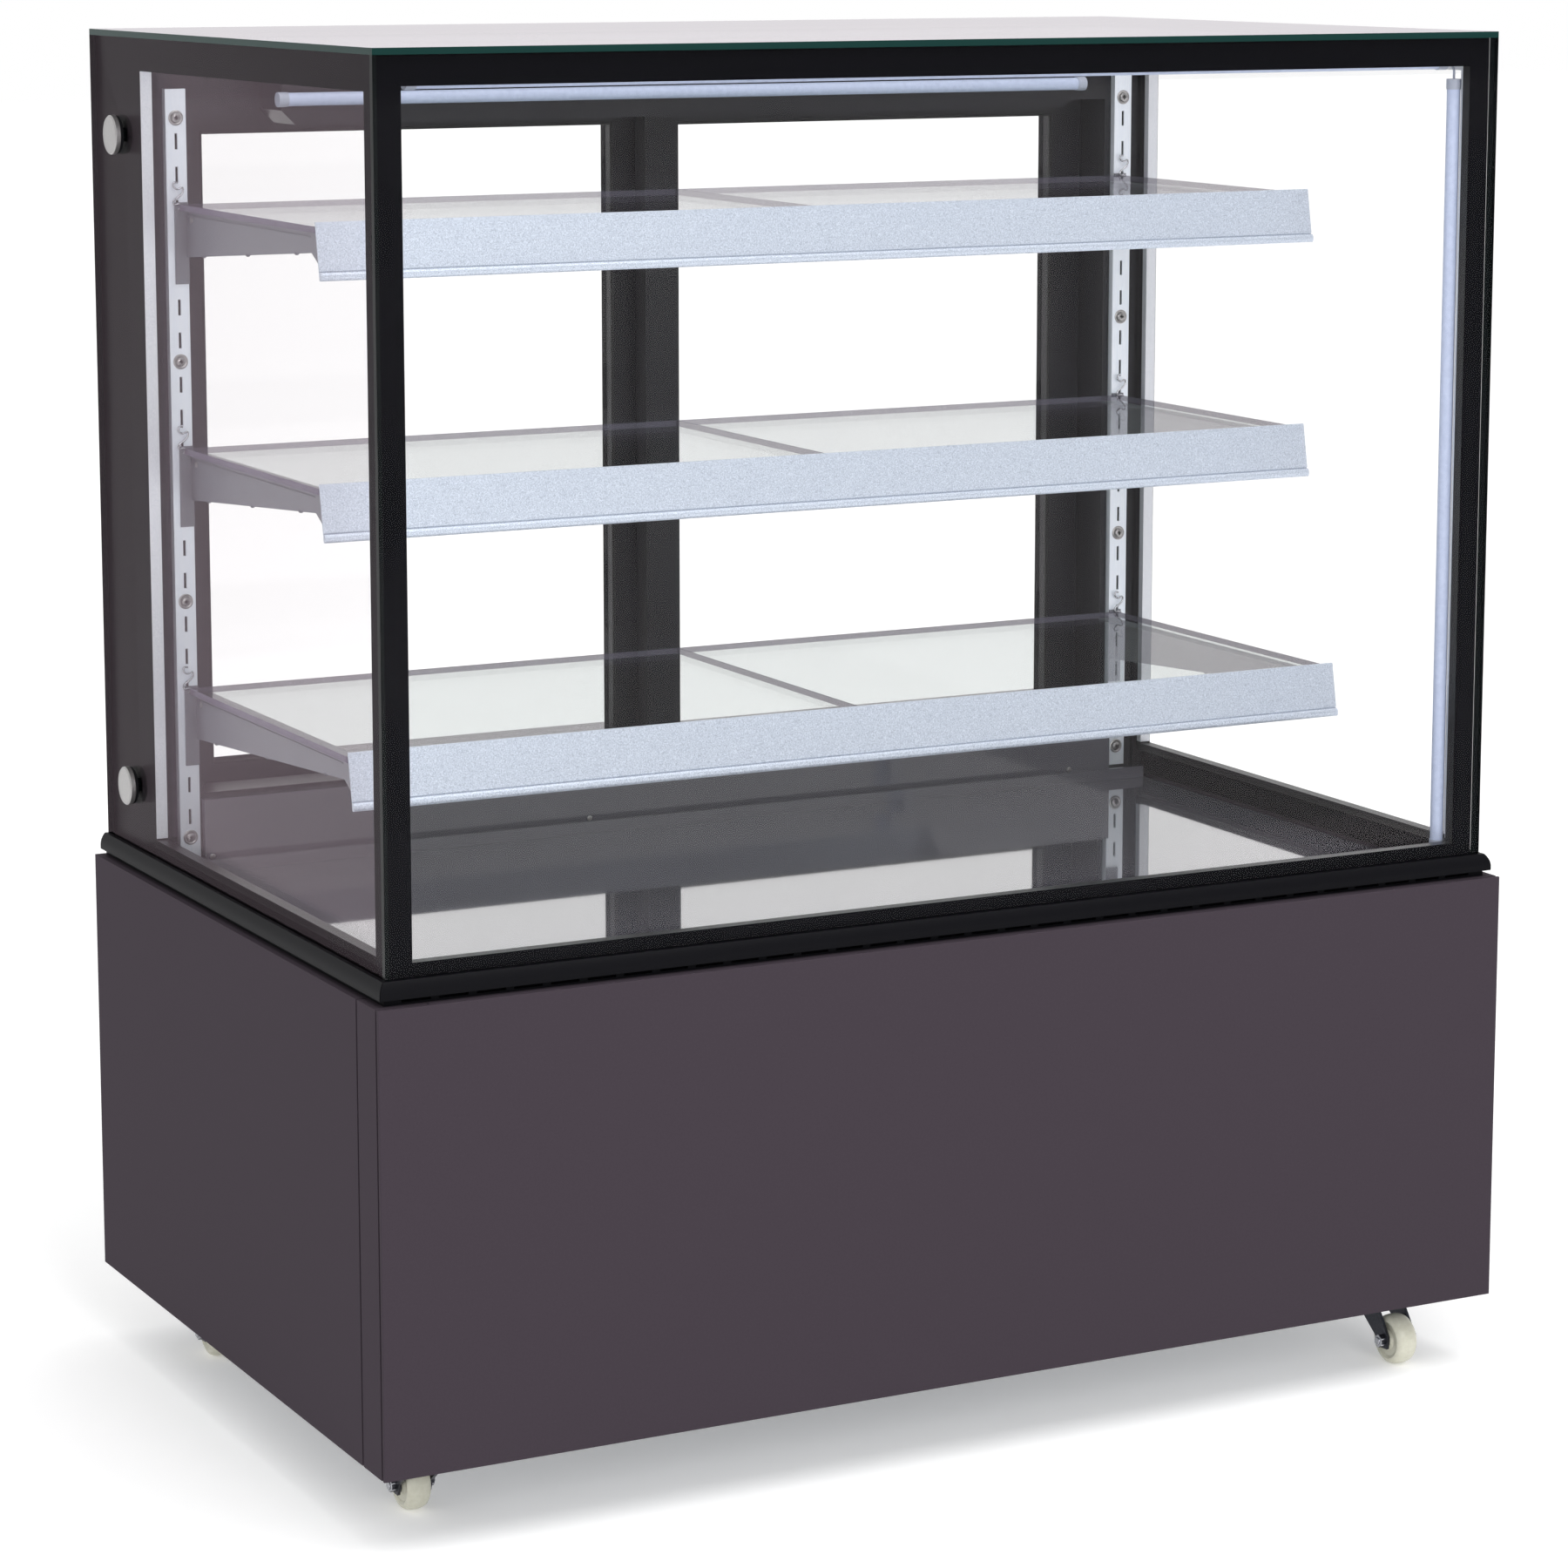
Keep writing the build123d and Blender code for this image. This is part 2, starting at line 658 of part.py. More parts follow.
deck_half = inner_x_face - 2.0
deck_front = inner_front_face + 2.0
grille_y = tub_wall + 16.0 - tub_depth_half
with BuildPart() as deck_sheet:
    block((-deck_half, deck_front, cabinet_top), (deck_half, deck_rear_y, deck_top))
    with Locations(*[(x, grille_y, (cabinet_top + deck_top) / 2)
                     for x in slot_row(int((2 * tub_half - 2 * tub_wall) // 18.0), 18.0)]):
        Box(6.0, 24.0, deck_thick * 2, mode=Mode.SUBTRACT)
deck_pieces = [deck_sheet.part]
for lip_y in (deck_front, deck_rear_y - deck_thick):
    with BuildPart() as deck_edge:
        block((-deck_half, lip_y, deck_top), (deck_half, lip_y + deck_thick, deck_top + deck_lip))
    deck_pieces.append(deck_edge.part)
deck_panel = Compound(children=deck_pieces)
save(deck_panel, "deck_panel")

cover_half = upright_x - upright_width / 2 - 2.5
cover_top = cabinet_top + duct_cover_height
with BuildPart() as rear_duct_cover:
    block((-cover_half, cover_front, cabinet_top), (cover_half, cover_front + sheet, cover_top))
    block((-cover_half, cover_front, cover_top - sheet), (cover_half, frame_front, cover_top))
    for side in (-1, 1):
        mirrored_block(side, (cover_half - sheet, cover_front, cabinet_top),
                       (cover_half, frame_front, cover_top))
save(rear_duct_cover.part, "rear_duct_cover")

# ================= shelves =================

upright_foot = deck_top + upright_bottom_gap
screw_heights = [upright_foot + first_screw_height + module_pitch * i for i in range(upright_modules + 1)]
upright_head = screw_heights[-1] + top_screw_rise
upright_slots = [screw - first_slot_drop - slot_pitch * i
                 for screw in screw_heights[1:] for i in range(slots_per_module)]
with BuildPart() as shelf_uprights:
    for side in (-1, 1):
        low_x = upright_x - upright_width / 2
        high_x = upright_x + upright_width / 2
        mirrored_block(side, (low_x, upright_front, upright_foot), (high_x, frame_front, upright_head))
        bore = sorted((side * (low_x + upright_wall), side * (high_x - upright_wall)))
        block((bore[0], upright_front + upright_wall, upright_foot - 1),
              (bore[1], frame_front + 1, upright_head + 1), mode=Mode.SUBTRACT)
        with Locations(*[(side * upright_x, upright_front, z) for z in upright_slots]):
            Box(slot_width, upright_wall * 3, slot_length, mode=Mode.SUBTRACT)
save(shelf_uprights.part, "shelf_uprights")

shelf_tops = [shelf_top - shelf_pitch * i for i in range(len(shelf_fronts))]
arm_x = upright_x - upright_width / 2
flange_front = upright_front - bracket_sheet


def rail_face(front, drop, inset=0.0):
    """Depth of the leaning rail face at a drop below its top edge."""
    return front - rail_lean * drop / rail_height + inset


with BuildPart() as shelf_brackets:
    for top, front in zip(shelf_tops, shelf_fronts):
        under = top - shelf_glass_thick
        rail_top_z = top + rail_rise
        head = top + 2.0
        for side in (-1, 1):
            mirrored_block(side, (arm_x, flange_front, head - bracket_flange_height),
                           (arm_x + bracket_flange_width, upright_front, head))
            tab_drop = rail_height - 2.0
            outline = ((upright_front, under), (upright_front, head - bracket_rear_height),
                       (front + rail_ledge + 6, under - bracket_front_height + 6),
                       (rail_face(front, tab_drop, rail_skin + 14), rail_top_z - tab_drop + 9),
                       (rail_face(front, tab_drop, rail_skin + 8), rail_top_z - tab_drop),
                       (rail_face(front, tab_drop, rail_skin + 0.3), rail_top_z - tab_drop),
                       (rail_face(front, rail_rise + shelf_glass_thick, rail_skin + 0.3), under))
            plane_x = side * (arm_x + bracket_sheet if side > 0 else arm_x)
            prism(Plane(origin=(plane_x, 0, 0), x_dir=(0, 1, 0), z_dir=(1, 0, 0)), outline,
                  -bracket_sheet)
            mirrored_block(side, (arm_x - bracket_ledge, front + rail_ledge + 4, under - bracket_sheet),
                           (arm_x, flange_front, under))
save(shelf_brackets.part, "shelf_brackets")

with BuildPart() as shelf_rails:
    for top, front in zip(shelf_tops, shelf_fronts):
        zt = top + rail_rise
        zb = zt - rail_height
        lip_top = rail_height - rail_lip
        with BuildSketch(Plane(origin=(-shelf_half, 0, 0), x_dir=(0, 1, 0), z_dir=(1, 0, 0))) as section:
            with BuildLine():
                Polyline((rail_face(front, lip_top, 1.2), zt - lip_top - 1.2),
                         (rail_face(front, lip_top, 1.2), zt - lip_top),
                         (rail_face(front, lip_top), zt - lip_top), (front, zt),
                         (front + rail_skin, zt),
                         (rail_face(front, lip_top, rail_skin), zt - lip_top),
                         (rail_face(front, rail_height, rail_skin), zb),
                         (rail_face(front, rail_height, -0.5), zb))
                ThreePointArc((rail_face(front, rail_height, -0.5), zb),
                              (rail_face(front, rail_height - 3, -2.4), zb + 3.0),
                              (rail_face(front, lip_top, -1.5), zt - lip_top - 1.2))
                Line((rail_face(front, lip_top, -1.5), zt - lip_top - 1.2),
                     (rail_face(front, lip_top, 1.2), zt - lip_top - 1.2))
            make_face()
        extrude(section.sketch, amount=2 * shelf_half)
        ledge_half = arm_x - joint_gap
        under = top - shelf_glass_thick
        block((-ledge_half, rail_face(front, rail_rise + shelf_glass_thick, 1.0), under - sheet),
              (ledge_half, front + rail_ledge, under))
save(shelf_rails.part, "shelf_rails")

with BuildPart() as shelf_glass:
    for top, front in zip(shelf_tops, shelf_fronts):
        for side in (-1, 1):
            mirrored_block(side, (joint_gap, front + rail_skin + 1, top - shelf_glass_thick),
                           (shelf_half, flange_front - joint_gap, top))
save(shelf_glass.part, "shelf_glass")

# ================= lamps =================

lamp_x = inner_x_face - lamp_wall_gap - lamp_radius
lamp_y = inner_front_face + lamp_wall_gap + lamp_radius
corner_low = deck_top + corner_lamp_foot + lamp_cap_length
corner_high = inner_top_under - corner_lamp_drop
front_lamp_z = inner_top_under - lamp_radius - lamp_wall_gap
front_lamp_end = glass_x - front_lamp_end_gap
rear_lamp_y = frame_front - canopy_depth - lamp_cap_radius - 0.3
rear_lamp_z = inner_top_under - rear_lamp_drop
lamp_runs = [((s * lamp_x, lamp_y, corner_low), (s * lamp_x, lamp_y, corner_high)) for s in (-1, 1)]
lamp_runs.append(((lamp_cap_length - front_lamp_end, lamp_y, front_lamp_z),
                  (front_lamp_end - lamp_cap_length, lamp_y, front_lamp_z)))
lamp_runs.append(((lamp_cap_length - rear_lamp_half, rear_lamp_y, rear_lamp_z),
                  (rear_lamp_half - lamp_cap_length, rear_lamp_y, rear_lamp_z)))
with BuildPart() as lamps:
    for start, end in lamp_runs:
        rod(start, end, lamp_radius)
save(lamps.part, "lamps")

with BuildPart() as lamp_fittings:
    for start, end in lamp_runs:
        way = (Vector(*end) - Vector(*start)).normalized() * lamp_cap_length
        rod(start, tuple(Vector(*start) - way), lamp_cap_radius)
        rod(end, tuple(Vector(*end) + way), lamp_cap_radius)
    for side in (-1, 1):
        cap_top = corner_high + lamp_cap_length
        tube_run([(side * lamp_x, lamp_y, cap_top), (side * lamp_x, lamp_y, cap_top + 9),
                  (side * lamp_x, lamp_y + 8, cap_top + 17),
                  (side * lamp_x, lamp_y + 16, inner_top_under - lead_radius)], [4.0, 5.0], lead_radius)
save(lamp_fittings.part, "lamp_fittings")

# ================= cold tub =================

suction_x = -coil_half - 50.0
liquid_x = coil_half + 40.0
coil_mid_y = -60.0
pipe_hole = pipe_radius + pipe_hole_clearance
tub_slabs = []
wall_y = tub_depth_half - tub_wall
for low, high in (((-tub_half, -tub_depth_half, tub_bottom), (tub_half, tub_depth_half, tub_floor_top)),
                  ((-tub_half, -tub_depth_half, tub_floor_top), (tub_half, -wall_y, flange_z)),
                  ((-tub_half, wall_y, tub_floor_top), (tub_half, tub_depth_half, flange_z)),
                  ((-tub_half, -wall_y, tub_floor_top), (tub_wall - tub_half, wall_y, flange_z)),
                  ((tub_half - tub_wall, -wall_y, tub_floor_top), (tub_half, wall_y, flange_z))):
    with BuildPart() as tub_slab:
        block(low, high)
        for x in (suction_x, liquid_x) if low[2] == tub_bottom else ():
            rod((x, coil_mid_y, tub_bottom - 1), (x, coil_mid_y, tub_floor_top + 1), pipe_hole,
                mode=Mode.SUBTRACT)
    tub_slabs.append(tub_slab.part)
insulated_tub = Compound(children=tub_slabs)
save(insulated_tub, "insulated_tub")

coil_low = tub_floor_top + 8.0
with BuildPart() as evaporator_coil:
    block((-coil_half, coil_mid_y - coil_depth / 2, coil_low),
          (coil_half, coil_mid_y + coil_depth / 2, coil_low + coil_height))
    with Locations(*[(x, coil_mid_y, coil_low + coil_height) for x in slot_row(26, 30.0)]):
        Box(12.0, coil_depth + 2, coil_height, mode=Mode.SUBTRACT)
    for side in (-1, 1):
        mirrored_block(side, (coil_half, coil_mid_y - coil_depth / 2, tub_floor_top),
                       (coil_half + 2.0, coil_mid_y + coil_depth / 2, coil_low + coil_height))
save(evaporator_coil.part, "evaporator_coil")


def fan_rotor(centre, radius, hub, half_depth, pitch):
    """Put a bladed rotor turning about the Y direction into the open part."""
    x, y, z = centre
    rod((x, y - half_depth, z), (x, y + half_depth, z), hub)
    span = radius - hub + 1.0
    for i in range(fan_blade_count):
        turn = math.radians(360.0 / fan_blade_count * i)
        blade = Plane(origin=centre, x_dir=(math.cos(turn), 0, math.sin(turn)), z_dir=(0, 1, 0))
        with Locations(blade.location * Location((hub - 1.0 + span / 2, 0, 0), (pitch, 0, 0))):
            Box(span, radius * 0.6, 1.5)
    rod((x, y - half_depth - 1, z), (x, y + half_depth + 1, z), fan_shaft_radius + running_clearance,
        mode=Mode.SUBTRACT)


fan_z = tub_floor_top + (flange_z - tub_floor_top) / 2
baffle_y = coil_mid_y + coil_depth / 2 + 60.0
with BuildPart() as evaporator_baffle:
    block((tub_wall - tub_half, baffle_y, tub_floor_top), (tub_half - tub_wall, baffle_y + 2.0, flange_z))
    for side in (-1, 1):
        rod((side * evaporator_fan_x, baffle_y - 1, fan_z), (side * evaporator_fan_x, baffle_y + 3, fan_z),
            evaporator_fan_radius + fan_tip_gap, mode=Mode.SUBTRACT)
save(evaporator_baffle.part, "evaporator_baffle")

for side, side_name in ((-1, "left"), (1, "right")):
    with BuildPart() as evaporator_fan:
        fan_rotor((side * evaporator_fan_x, baffle_y + 1, fan_z), evaporator_fan_radius, 14.0, 9.0, 32.0)
    save(evaporator_fan.part, f"evaporator_fan_{side_name}")

condenser_low = pan_top + 4.0
condenser_y = frame_post_y - 53.0
condenser_fan_z = condenser_low + condenser_height / 2
shroud_y = condenser_y - condenser_depth / 2
fan_y = shroud_y - 16.0
motor_y = fan_y - 18.0
with BuildPart() as fan_motors:
    rod((condenser_x, motor_y - 55, condenser_fan_z), (condenser_x, motor_y, condenser_fan_z), 34.0)
    fillet(fan_motors.edges().filter_by(GeomType.CIRCLE), radius=5.0)
    rod((condenser_x, motor_y, condenser_fan_z), (condenser_x, fan_y + 10, condenser_fan_z),
        fan_shaft_radius)
    block((condenser_x - 25, motor_y - 40, pan_top), (condenser_x + 25, motor_y - 15, condenser_fan_z - 20))
    for side in (-1, 1):
        x = side * evaporator_fan_x
        rod((x, baffle_y + 22, fan_z), (x, baffle_y + 60, fan_z), 20.0)
        rod((x, baffle_y - 8, fan_z), (x, baffle_y + 22, fan_z), fan_shaft_radius)
        for wing in (-1, 1):
            arm = sorted((x + wing * 18, x + wing * 56))
            block((arm[0], baffle_y + 30, fan_z - 6), (arm[1], baffle_y + 33, fan_z + 6))
            foot = sorted((x + wing * 53, x + wing * 56))
            block((foot[0], baffle_y + 2, fan_z - 6), (foot[1], baffle_y + 33, fan_z + 6))
save(fan_motors.part, "fan_motors")

with BuildPart() as condenser_fan:
    fan_rotor((condenser_x, fan_y, condenser_fan_z), condenser_fan_radius, 24.0, 9.0, 30.0)
save(condenser_fan.part, "condenser_fan")

# ================= machinery =================

with BuildPart() as condenser_coil:
    block((condenser_x - condenser_half, shroud_y, condenser_low),
          (condenser_x + condenser_half, shroud_y + condenser_depth, condenser_low + condenser_height))
    with Locations(*[(condenser_x + x, condenser_y, condenser_low + condenser_height)
                     for x in slot_row(fin_gap_count, fin_gap_pitch)]):
        Box(fin_gap_width, condenser_depth + 2, condenser_height * fin_gap_reach, mode=Mode.SUBTRACT)
    for side in (-1, 1):
        foot = sorted((condenser_x + side * condenser_half, condenser_x + side * (condenser_half + 2)))
        block((foot[0], shroud_y, pan_top),
              (foot[1], shroud_y + condenser_depth, condenser_low + condenser_height))
save(condenser_coil.part, "condenser_coil")

with BuildPart() as condenser_shroud:
    block((condenser_x - condenser_half - 2, shroud_y - 2, pan_top),
          (condenser_x + condenser_half + 2, shroud_y, condenser_low + condenser_height))
    rod((condenser_x, shroud_y - 22, condenser_fan_z), (condenser_x, shroud_y, condenser_fan_z),
        condenser_fan_radius + fan_tip_gap + 2)
    rod((condenser_x, shroud_y - 23, condenser_fan_z), (condenser_x, shroud_y + 1, condenser_fan_z),
        condenser_fan_radius + fan_tip_gap, mode=Mode.SUBTRACT)
save(condenser_shroud.part, "condenser_shroud")

shell_low = pan_top + mount_height
shell_high = shell_low + compressor_height
feet = [(compressor_x + a, compressor_y + b) for a in (-78, 78) for b in (-58, 58)]
with BuildPart() as compressor:
    rod((compressor_x, compressor_y, shell_low), (compressor_x, compressor_y, shell_high), compressor_radius)
    fillet(compressor.edges().filter_by(GeomType.CIRCLE), radius=compressor_radius / 2)
    block((compressor_x - 92, compressor_y - 70, shell_low),
          (compressor_x + 92, compressor_y + 70, shell_low + 3))
    block((compressor_x - 28, compressor_y - compressor_radius - 22, shell_low + 60),
          (compressor_x + 28, compressor_y - compressor_radius + 12, shell_low + 130))
    for x, y in feet:
        rod((x, y, shell_low - 1), (x, y, shell_low + 4), 5.0, mode=Mode.SUBTRACT)
save(compressor.part, "compressor")

with BuildPart() as compressor_mounts:
    for x, y in feet:
        rod((x, y, pan_top), (x, y, shell_low), 11.0)
        rod((x, y, shell_low), (x, y, shell_low + 6), 4.5)
save(compressor_mounts.part, "compressor_mounts")

suction_z = shell_low + 134.0
discharge_z = shell_low + 144.0
coil_port_z = coil_low + coil_height / 2
condenser_port_x = condenser_x - condenser_half - 2
with BuildPart() as discharge_pipe:
    tube_run([(compressor_x + compressor_radius, compressor_y, discharge_z),
              (compressor_x + compressor_radius + 90, compressor_y, discharge_z),
              (condenser_port_x - 110, condenser_y - 90, discharge_z + 20),
              (condenser_port_x - 70, condenser_y + 10, discharge_z + 40),
              (condenser_port_x, condenser_y + 10, discharge_z + 40)], [35.0, 30.0, 18.0], pipe_radius)
with BuildPart() as suction_pipe:
    tube_run([(-coil_half - 2, coil_mid_y, coil_port_z), (suction_x, coil_mid_y, coil_port_z),
              (suction_x, coil_mid_y, tub_bottom - 50), (suction_x + 30, compressor_y, suction_z),
              (compressor_x - compressor_radius, compressor_y, suction_z)], [18.0, 22.0, 18.0], pipe_radius)
with BuildPart() as liquid_pipe:
    tube_run([(condenser_port_x, condenser_y - 10, condenser_low + 25),
              (condenser_port_x - 45, condenser_y - 10, condenser_low + 25),
              (condenser_port_x - 45, condenser_y - 150, condenser_low + 45),
              (condenser_port_x + 100, condenser_y - 240, condenser_low + 60),
              (liquid_x, coil_mid_y, condenser_low + 130), (liquid_x, coil_mid_y, coil_port_z),
              (coil_half + 2, coil_mid_y, coil_port_z)], [15.0, 30.0, 40.0, 40.0, 12.0], pipe_radius)
refrigerant_pipes = Compound(children=[discharge_pipe.part, suction_pipe.part, liquid_pipe.part])
save(refrigerant_pipes, "refrigerant_pipes")

tray_right = tray_left + tray_length
tray_back = tray_front + tray_width
tray_rim = pan_top + tray_height
with BuildPart() as drain_tray:
    block((tray_left, tray_front, pan_top), (tray_right, tray_back, tray_rim))
    block((tray_left + tray_wall, tray_front + tray_wall, pan_top + tray_wall),
          (tray_right - tray_wall, tray_back - tray_wall, tray_rim + 1), mode=Mode.SUBTRACT)
save(drain_tray.part, "drain_tray")

# ================= controls =================

plate_face = rear_face + control_plate
pocket_floor = plate_face - switch_pocket
button_radius = button_size / 2
rocker_xs = {"power_switch": control_x - switch_outer_x, "light_switch": control_x - switch_inner_x}
button_xs = {"down_button": control_x + switch_inner_x, "up_button": control_x + switch_outer_x}
with BuildPart() as control_panel:
    block((control_x - control_half_width, rear_face, control_z - control_half_height),
          (control_x + control_half_width, plate_face, control_z + control_half_height))
    block((control_x - box_half_x, rear_face - control_depth, control_z - box_half_z),
          (control_x + box_half_x, rear_face, control_z + box_half_z))
    block((control_x - display_half_width, plate_face - 1, control_z - display_half_height),
          (control_x + display_half_width, plate_face + 1, control_z + display_half_height),
          mode=Mode.SUBTRACT)
    for x in rocker_xs.values():
        half_x = rocker_width / 2 + button_clearance
        half_z = rocker_height / 2 + rocker_clearance
        block((x - half_x, pocket_floor, control_z - half_z),
              (x + half_x, plate_face + 1, control_z + half_z), mode=Mode.SUBTRACT)
    for x in button_xs.values():
        rod((x, pocket_floor, control_z), (x, plate_face + 1, control_z), button_radius + button_clearance,
            mode=Mode.SUBTRACT)
save(control_panel.part, "control_panel")

for name, x in rocker_xs.items():
    with BuildPart() as rocker:
        block((x - rocker_width / 2, plate_face - 6.6, control_z - rocker_height / 2),
              (x + rocker_width / 2, plate_face - 0.6, control_z + rocker_height / 2))
    tilted = rocker.part.rotate(Axis((x, plate_face - 5, control_z), (1, 0, 0)), rocker_angle)
    save(tilted, name)

for name, x in button_xs.items():
    with BuildPart() as button:
        rod((x, plate_face - 6.0, control_z), (x, plate_face + 0.8, control_z), button_radius)
        fillet(button.faces().sort_by(Axis.Y)[-1].edges(), radius=0.3)
    save(button.part, name)

gland_body = gland_bore + gland_wall
with BuildPart() as mains_gland:
    rod((gland_x, rear_face - 24, gland_z), (gland_x, back_y, gland_z), gland_body)
    rod((gland_x, rear_face, gland_z), (gland_x, back_y, gland_z), gland_body + gland_flange)
    rod((gland_x, rear_face - sheet - 5, gland_z), (gland_x, rear_face - sheet, gland_z),
        gland_body + gland_flange)
    rod((gland_x, rear_face - 25, gland_z), (gland_x, back_y + 1, gland_z), gland_bore, mode=Mode.SUBTRACT)
save(mains_gland.part, "mains_gland")

# ================= castors =================

plate_bolts = [(x * plate_bolt_x, y * plate_bolt_y) for x in (-1, 1) for y in (-1, 1)]
corners = {"front_left": (-1, -1, 1), "front_right": (1, -1, -1),
           "rear_left": (-1, 1, -1), "rear_right": (1, 1, 1)}
plate_under = castor_height - plate_thick
with BuildPart() as castor_plates:
    for sx, sy, way in corners.values():
        x, y = sx * swivel_x, sy * swivel_y
        block((x - plate_width / 2, y - plate_length / 2, plate_under),
              (x + plate_width / 2, y + plate_length / 2, castor_height))
        rod((x, y, race_under), (x, y, plate_under), race_radius)
        rod((x, y, race_under - 1), (x, y, plate_under), kingpin_radius + running_clearance,
            mode=Mode.SUBTRACT)
save(castor_plates.part, "castor_plates")

for corner, (sx, sy, way) in corners.items():
    x, y = sx * swivel_x, sy * swivel_y
    axle_y = y + way * castor_trail
    with BuildPart() as castor_fork:
        rod((x, y, crown_top - fork_sheet), (x, y, crown_top), race_radius - 2)
        rod((x, y, crown_top), (x, y, plate_under - 0.5), kingpin_radius)
        leg = ((-14, crown_top), (19, crown_top), (castor_trail + 10, 31), (castor_trail + 9, 18),
               (castor_trail - 8, 17), (castor_trail - 12, 28), (-14, 56))
        for side in (-1, 1):
            low = x + (fork_half_gap if side > 0 else -fork_half_gap - fork_sheet)
            prism(Plane(origin=(low, y, 0), x_dir=(0, 1, 0), z_dir=(1, 0, 0)),
                  [(way * a, b) for a, b in leg], fork_sheet)
            nut = x + side * (fork_half_gap + fork_sheet)
            rod((nut, axle_y, wheel_centre_z), (nut + side * 4, axle_y, wheel_centre_z), 6.5)
        rod((x - fork_half_gap - 1, axle_y, wheel_centre_z), (x + fork_half_gap + 1, axle_y, wheel_centre_z),
            axle_radius)
    save(castor_fork.part, f"castor_fork_{corner}")
    with BuildPart() as castor_wheel:
        rod((x - wheel_width / 2, axle_y, wheel_centre_z), (x + wheel_width / 2, axle_y, wheel_centre_z),
            wheel_radius)
        fillet(castor_wheel.edges().filter_by(GeomType.CIRCLE), radius=5.0)
        rod((x - wheel_width / 2 - 1, axle_y, wheel_centre_z),
            (x + wheel_width / 2 + 1, axle_y, wheel_centre_z), axle_radius + running_clearance,
            mode=Mode.SUBTRACT)
    save(castor_wheel.part, f"castor_wheel_{corner}")

# ================= fasteners =================

with BuildPart() as fasteners:
    for side in (-1, 1):
        for z in screw_heights:
            x = side * upright_x
            rod((x, upright_front, z), (x, upright_front - 1, z), 7.5)
            rod((x, upright_front - 1, z), (x, upright_front - 3, z), 5.0)
        for z in (panel_bottom + 40, (panel_bottom + cabinet_top) / 2, cabinet_top - 40):
            x = side * (rear_half - 12)
            rod((x, rear_face, z), (x, rear_face + 2, z), 4.5)
    for x in (-cover_half + 7, -cover_half / 5, cover_half - 52):
        rod((x, cover_front, deck_top + 12), (x, cover_front - 1.5, deck_top + 12), 3.0)
    for sx, sy, way in corners.values():
        for a, b in plate_bolts:
            x, y = sx * swivel_x + a, sy * swivel_y + b
            rod((x, y, plate_under), (x, y, plate_under - 3), 4.0)
    for top, front in zip(shelf_tops, shelf_fronts):
        for side in (-1, 1):
            plate = side * (arm_x + bracket_sheet)
            inside = rail_face(front, rail_height / 2, rail_skin)
            for y, z in ((flange_front - 14, top - 15), (front + 12, top - 12), (inside + 6, top - 34)):
                rod((plate, y, z), (plate + side * 1.2, y, z), 3.2)
save(fasteners.part, "fasteners")
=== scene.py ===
"""Looks of a refrigerated bakery display case: finishes, fine pieces, light and camera."""

import json
import logging
import math
from dataclasses import dataclass
from enum import Enum

import bmesh
import bpy
from mathutils import Matrix, Vector

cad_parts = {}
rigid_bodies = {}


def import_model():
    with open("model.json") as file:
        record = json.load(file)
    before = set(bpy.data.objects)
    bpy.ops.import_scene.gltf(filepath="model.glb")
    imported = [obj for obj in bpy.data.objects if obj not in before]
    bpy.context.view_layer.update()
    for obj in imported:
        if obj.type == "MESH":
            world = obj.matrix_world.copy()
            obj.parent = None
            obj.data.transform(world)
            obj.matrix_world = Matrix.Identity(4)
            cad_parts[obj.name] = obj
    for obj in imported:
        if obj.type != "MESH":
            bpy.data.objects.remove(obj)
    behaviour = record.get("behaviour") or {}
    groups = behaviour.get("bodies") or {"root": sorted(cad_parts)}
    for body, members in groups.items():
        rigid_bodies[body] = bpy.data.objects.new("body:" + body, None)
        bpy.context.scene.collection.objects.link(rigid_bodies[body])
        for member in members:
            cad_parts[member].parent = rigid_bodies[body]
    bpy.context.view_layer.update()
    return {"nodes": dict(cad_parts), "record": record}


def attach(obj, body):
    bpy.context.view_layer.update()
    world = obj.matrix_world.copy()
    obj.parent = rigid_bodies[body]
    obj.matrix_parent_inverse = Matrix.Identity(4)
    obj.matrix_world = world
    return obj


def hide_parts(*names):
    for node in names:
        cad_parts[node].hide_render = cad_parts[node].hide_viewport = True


MM = 0.001
CASE = "case"
SHELF_TOPS = (1168.0, 928.5, 689.0)
SHELF_NOSES = (-105.0, -105.0, -165.0)
ARM_FACE = 532.5
log = logging.getLogger("display_case")


class Side(Enum):
    """The two sides of the case, as the sign of X."""

    LEFT = -1
    RIGHT = 1


class PaneFace(Enum):
    """The direction a pane's broad faces look along."""

    X = "X"
    Y = "Y"
    Z = "Z"


# ---------------------------------------------------------------- nodes and finishes


def linear(code: str) -> tuple[float, float, float, float]:
    """Turn an sRGB hex colour into linear RGBA.

    Args:
        code: colour such as "#4c444c".

    Returns:
        The four linear channels, with alpha 1.
    """
    channels = [int(code[i : i + 2], 16) / 255 for i in (1, 3, 5)]
    red, green, blue = (
        c / 12.92 if c <= 0.04045 else ((c + 0.055) / 1.055) ** 2.4 for c in channels
    )
    return red, green, blue, 1.0


def add_node(
    tree: bpy.types.NodeTree,
    kind: str,
    settings: dict | None = None,
    values: dict | None = None,
    links: dict | None = None,
) -> bpy.types.Node:
    """Add one node with its settings, socket values and incoming links.

    Args:
        tree: node tree that takes the node.
        kind: node type name.
        settings: attributes of the node.
        values: plain socket values by socket name or number.
        links: output sockets to join, by socket name or number.

    Returns:
        The new node.
    """
    node = tree.nodes.new(kind)
    for key, value in (settings or {}).items():
        setattr(node, key, value)
    for key, value in (values or {}).items():
        node.inputs[key].default_value = value
    for key, socket in (links or {}).items():
        tree.links.new(socket, node.inputs[key])
    return node


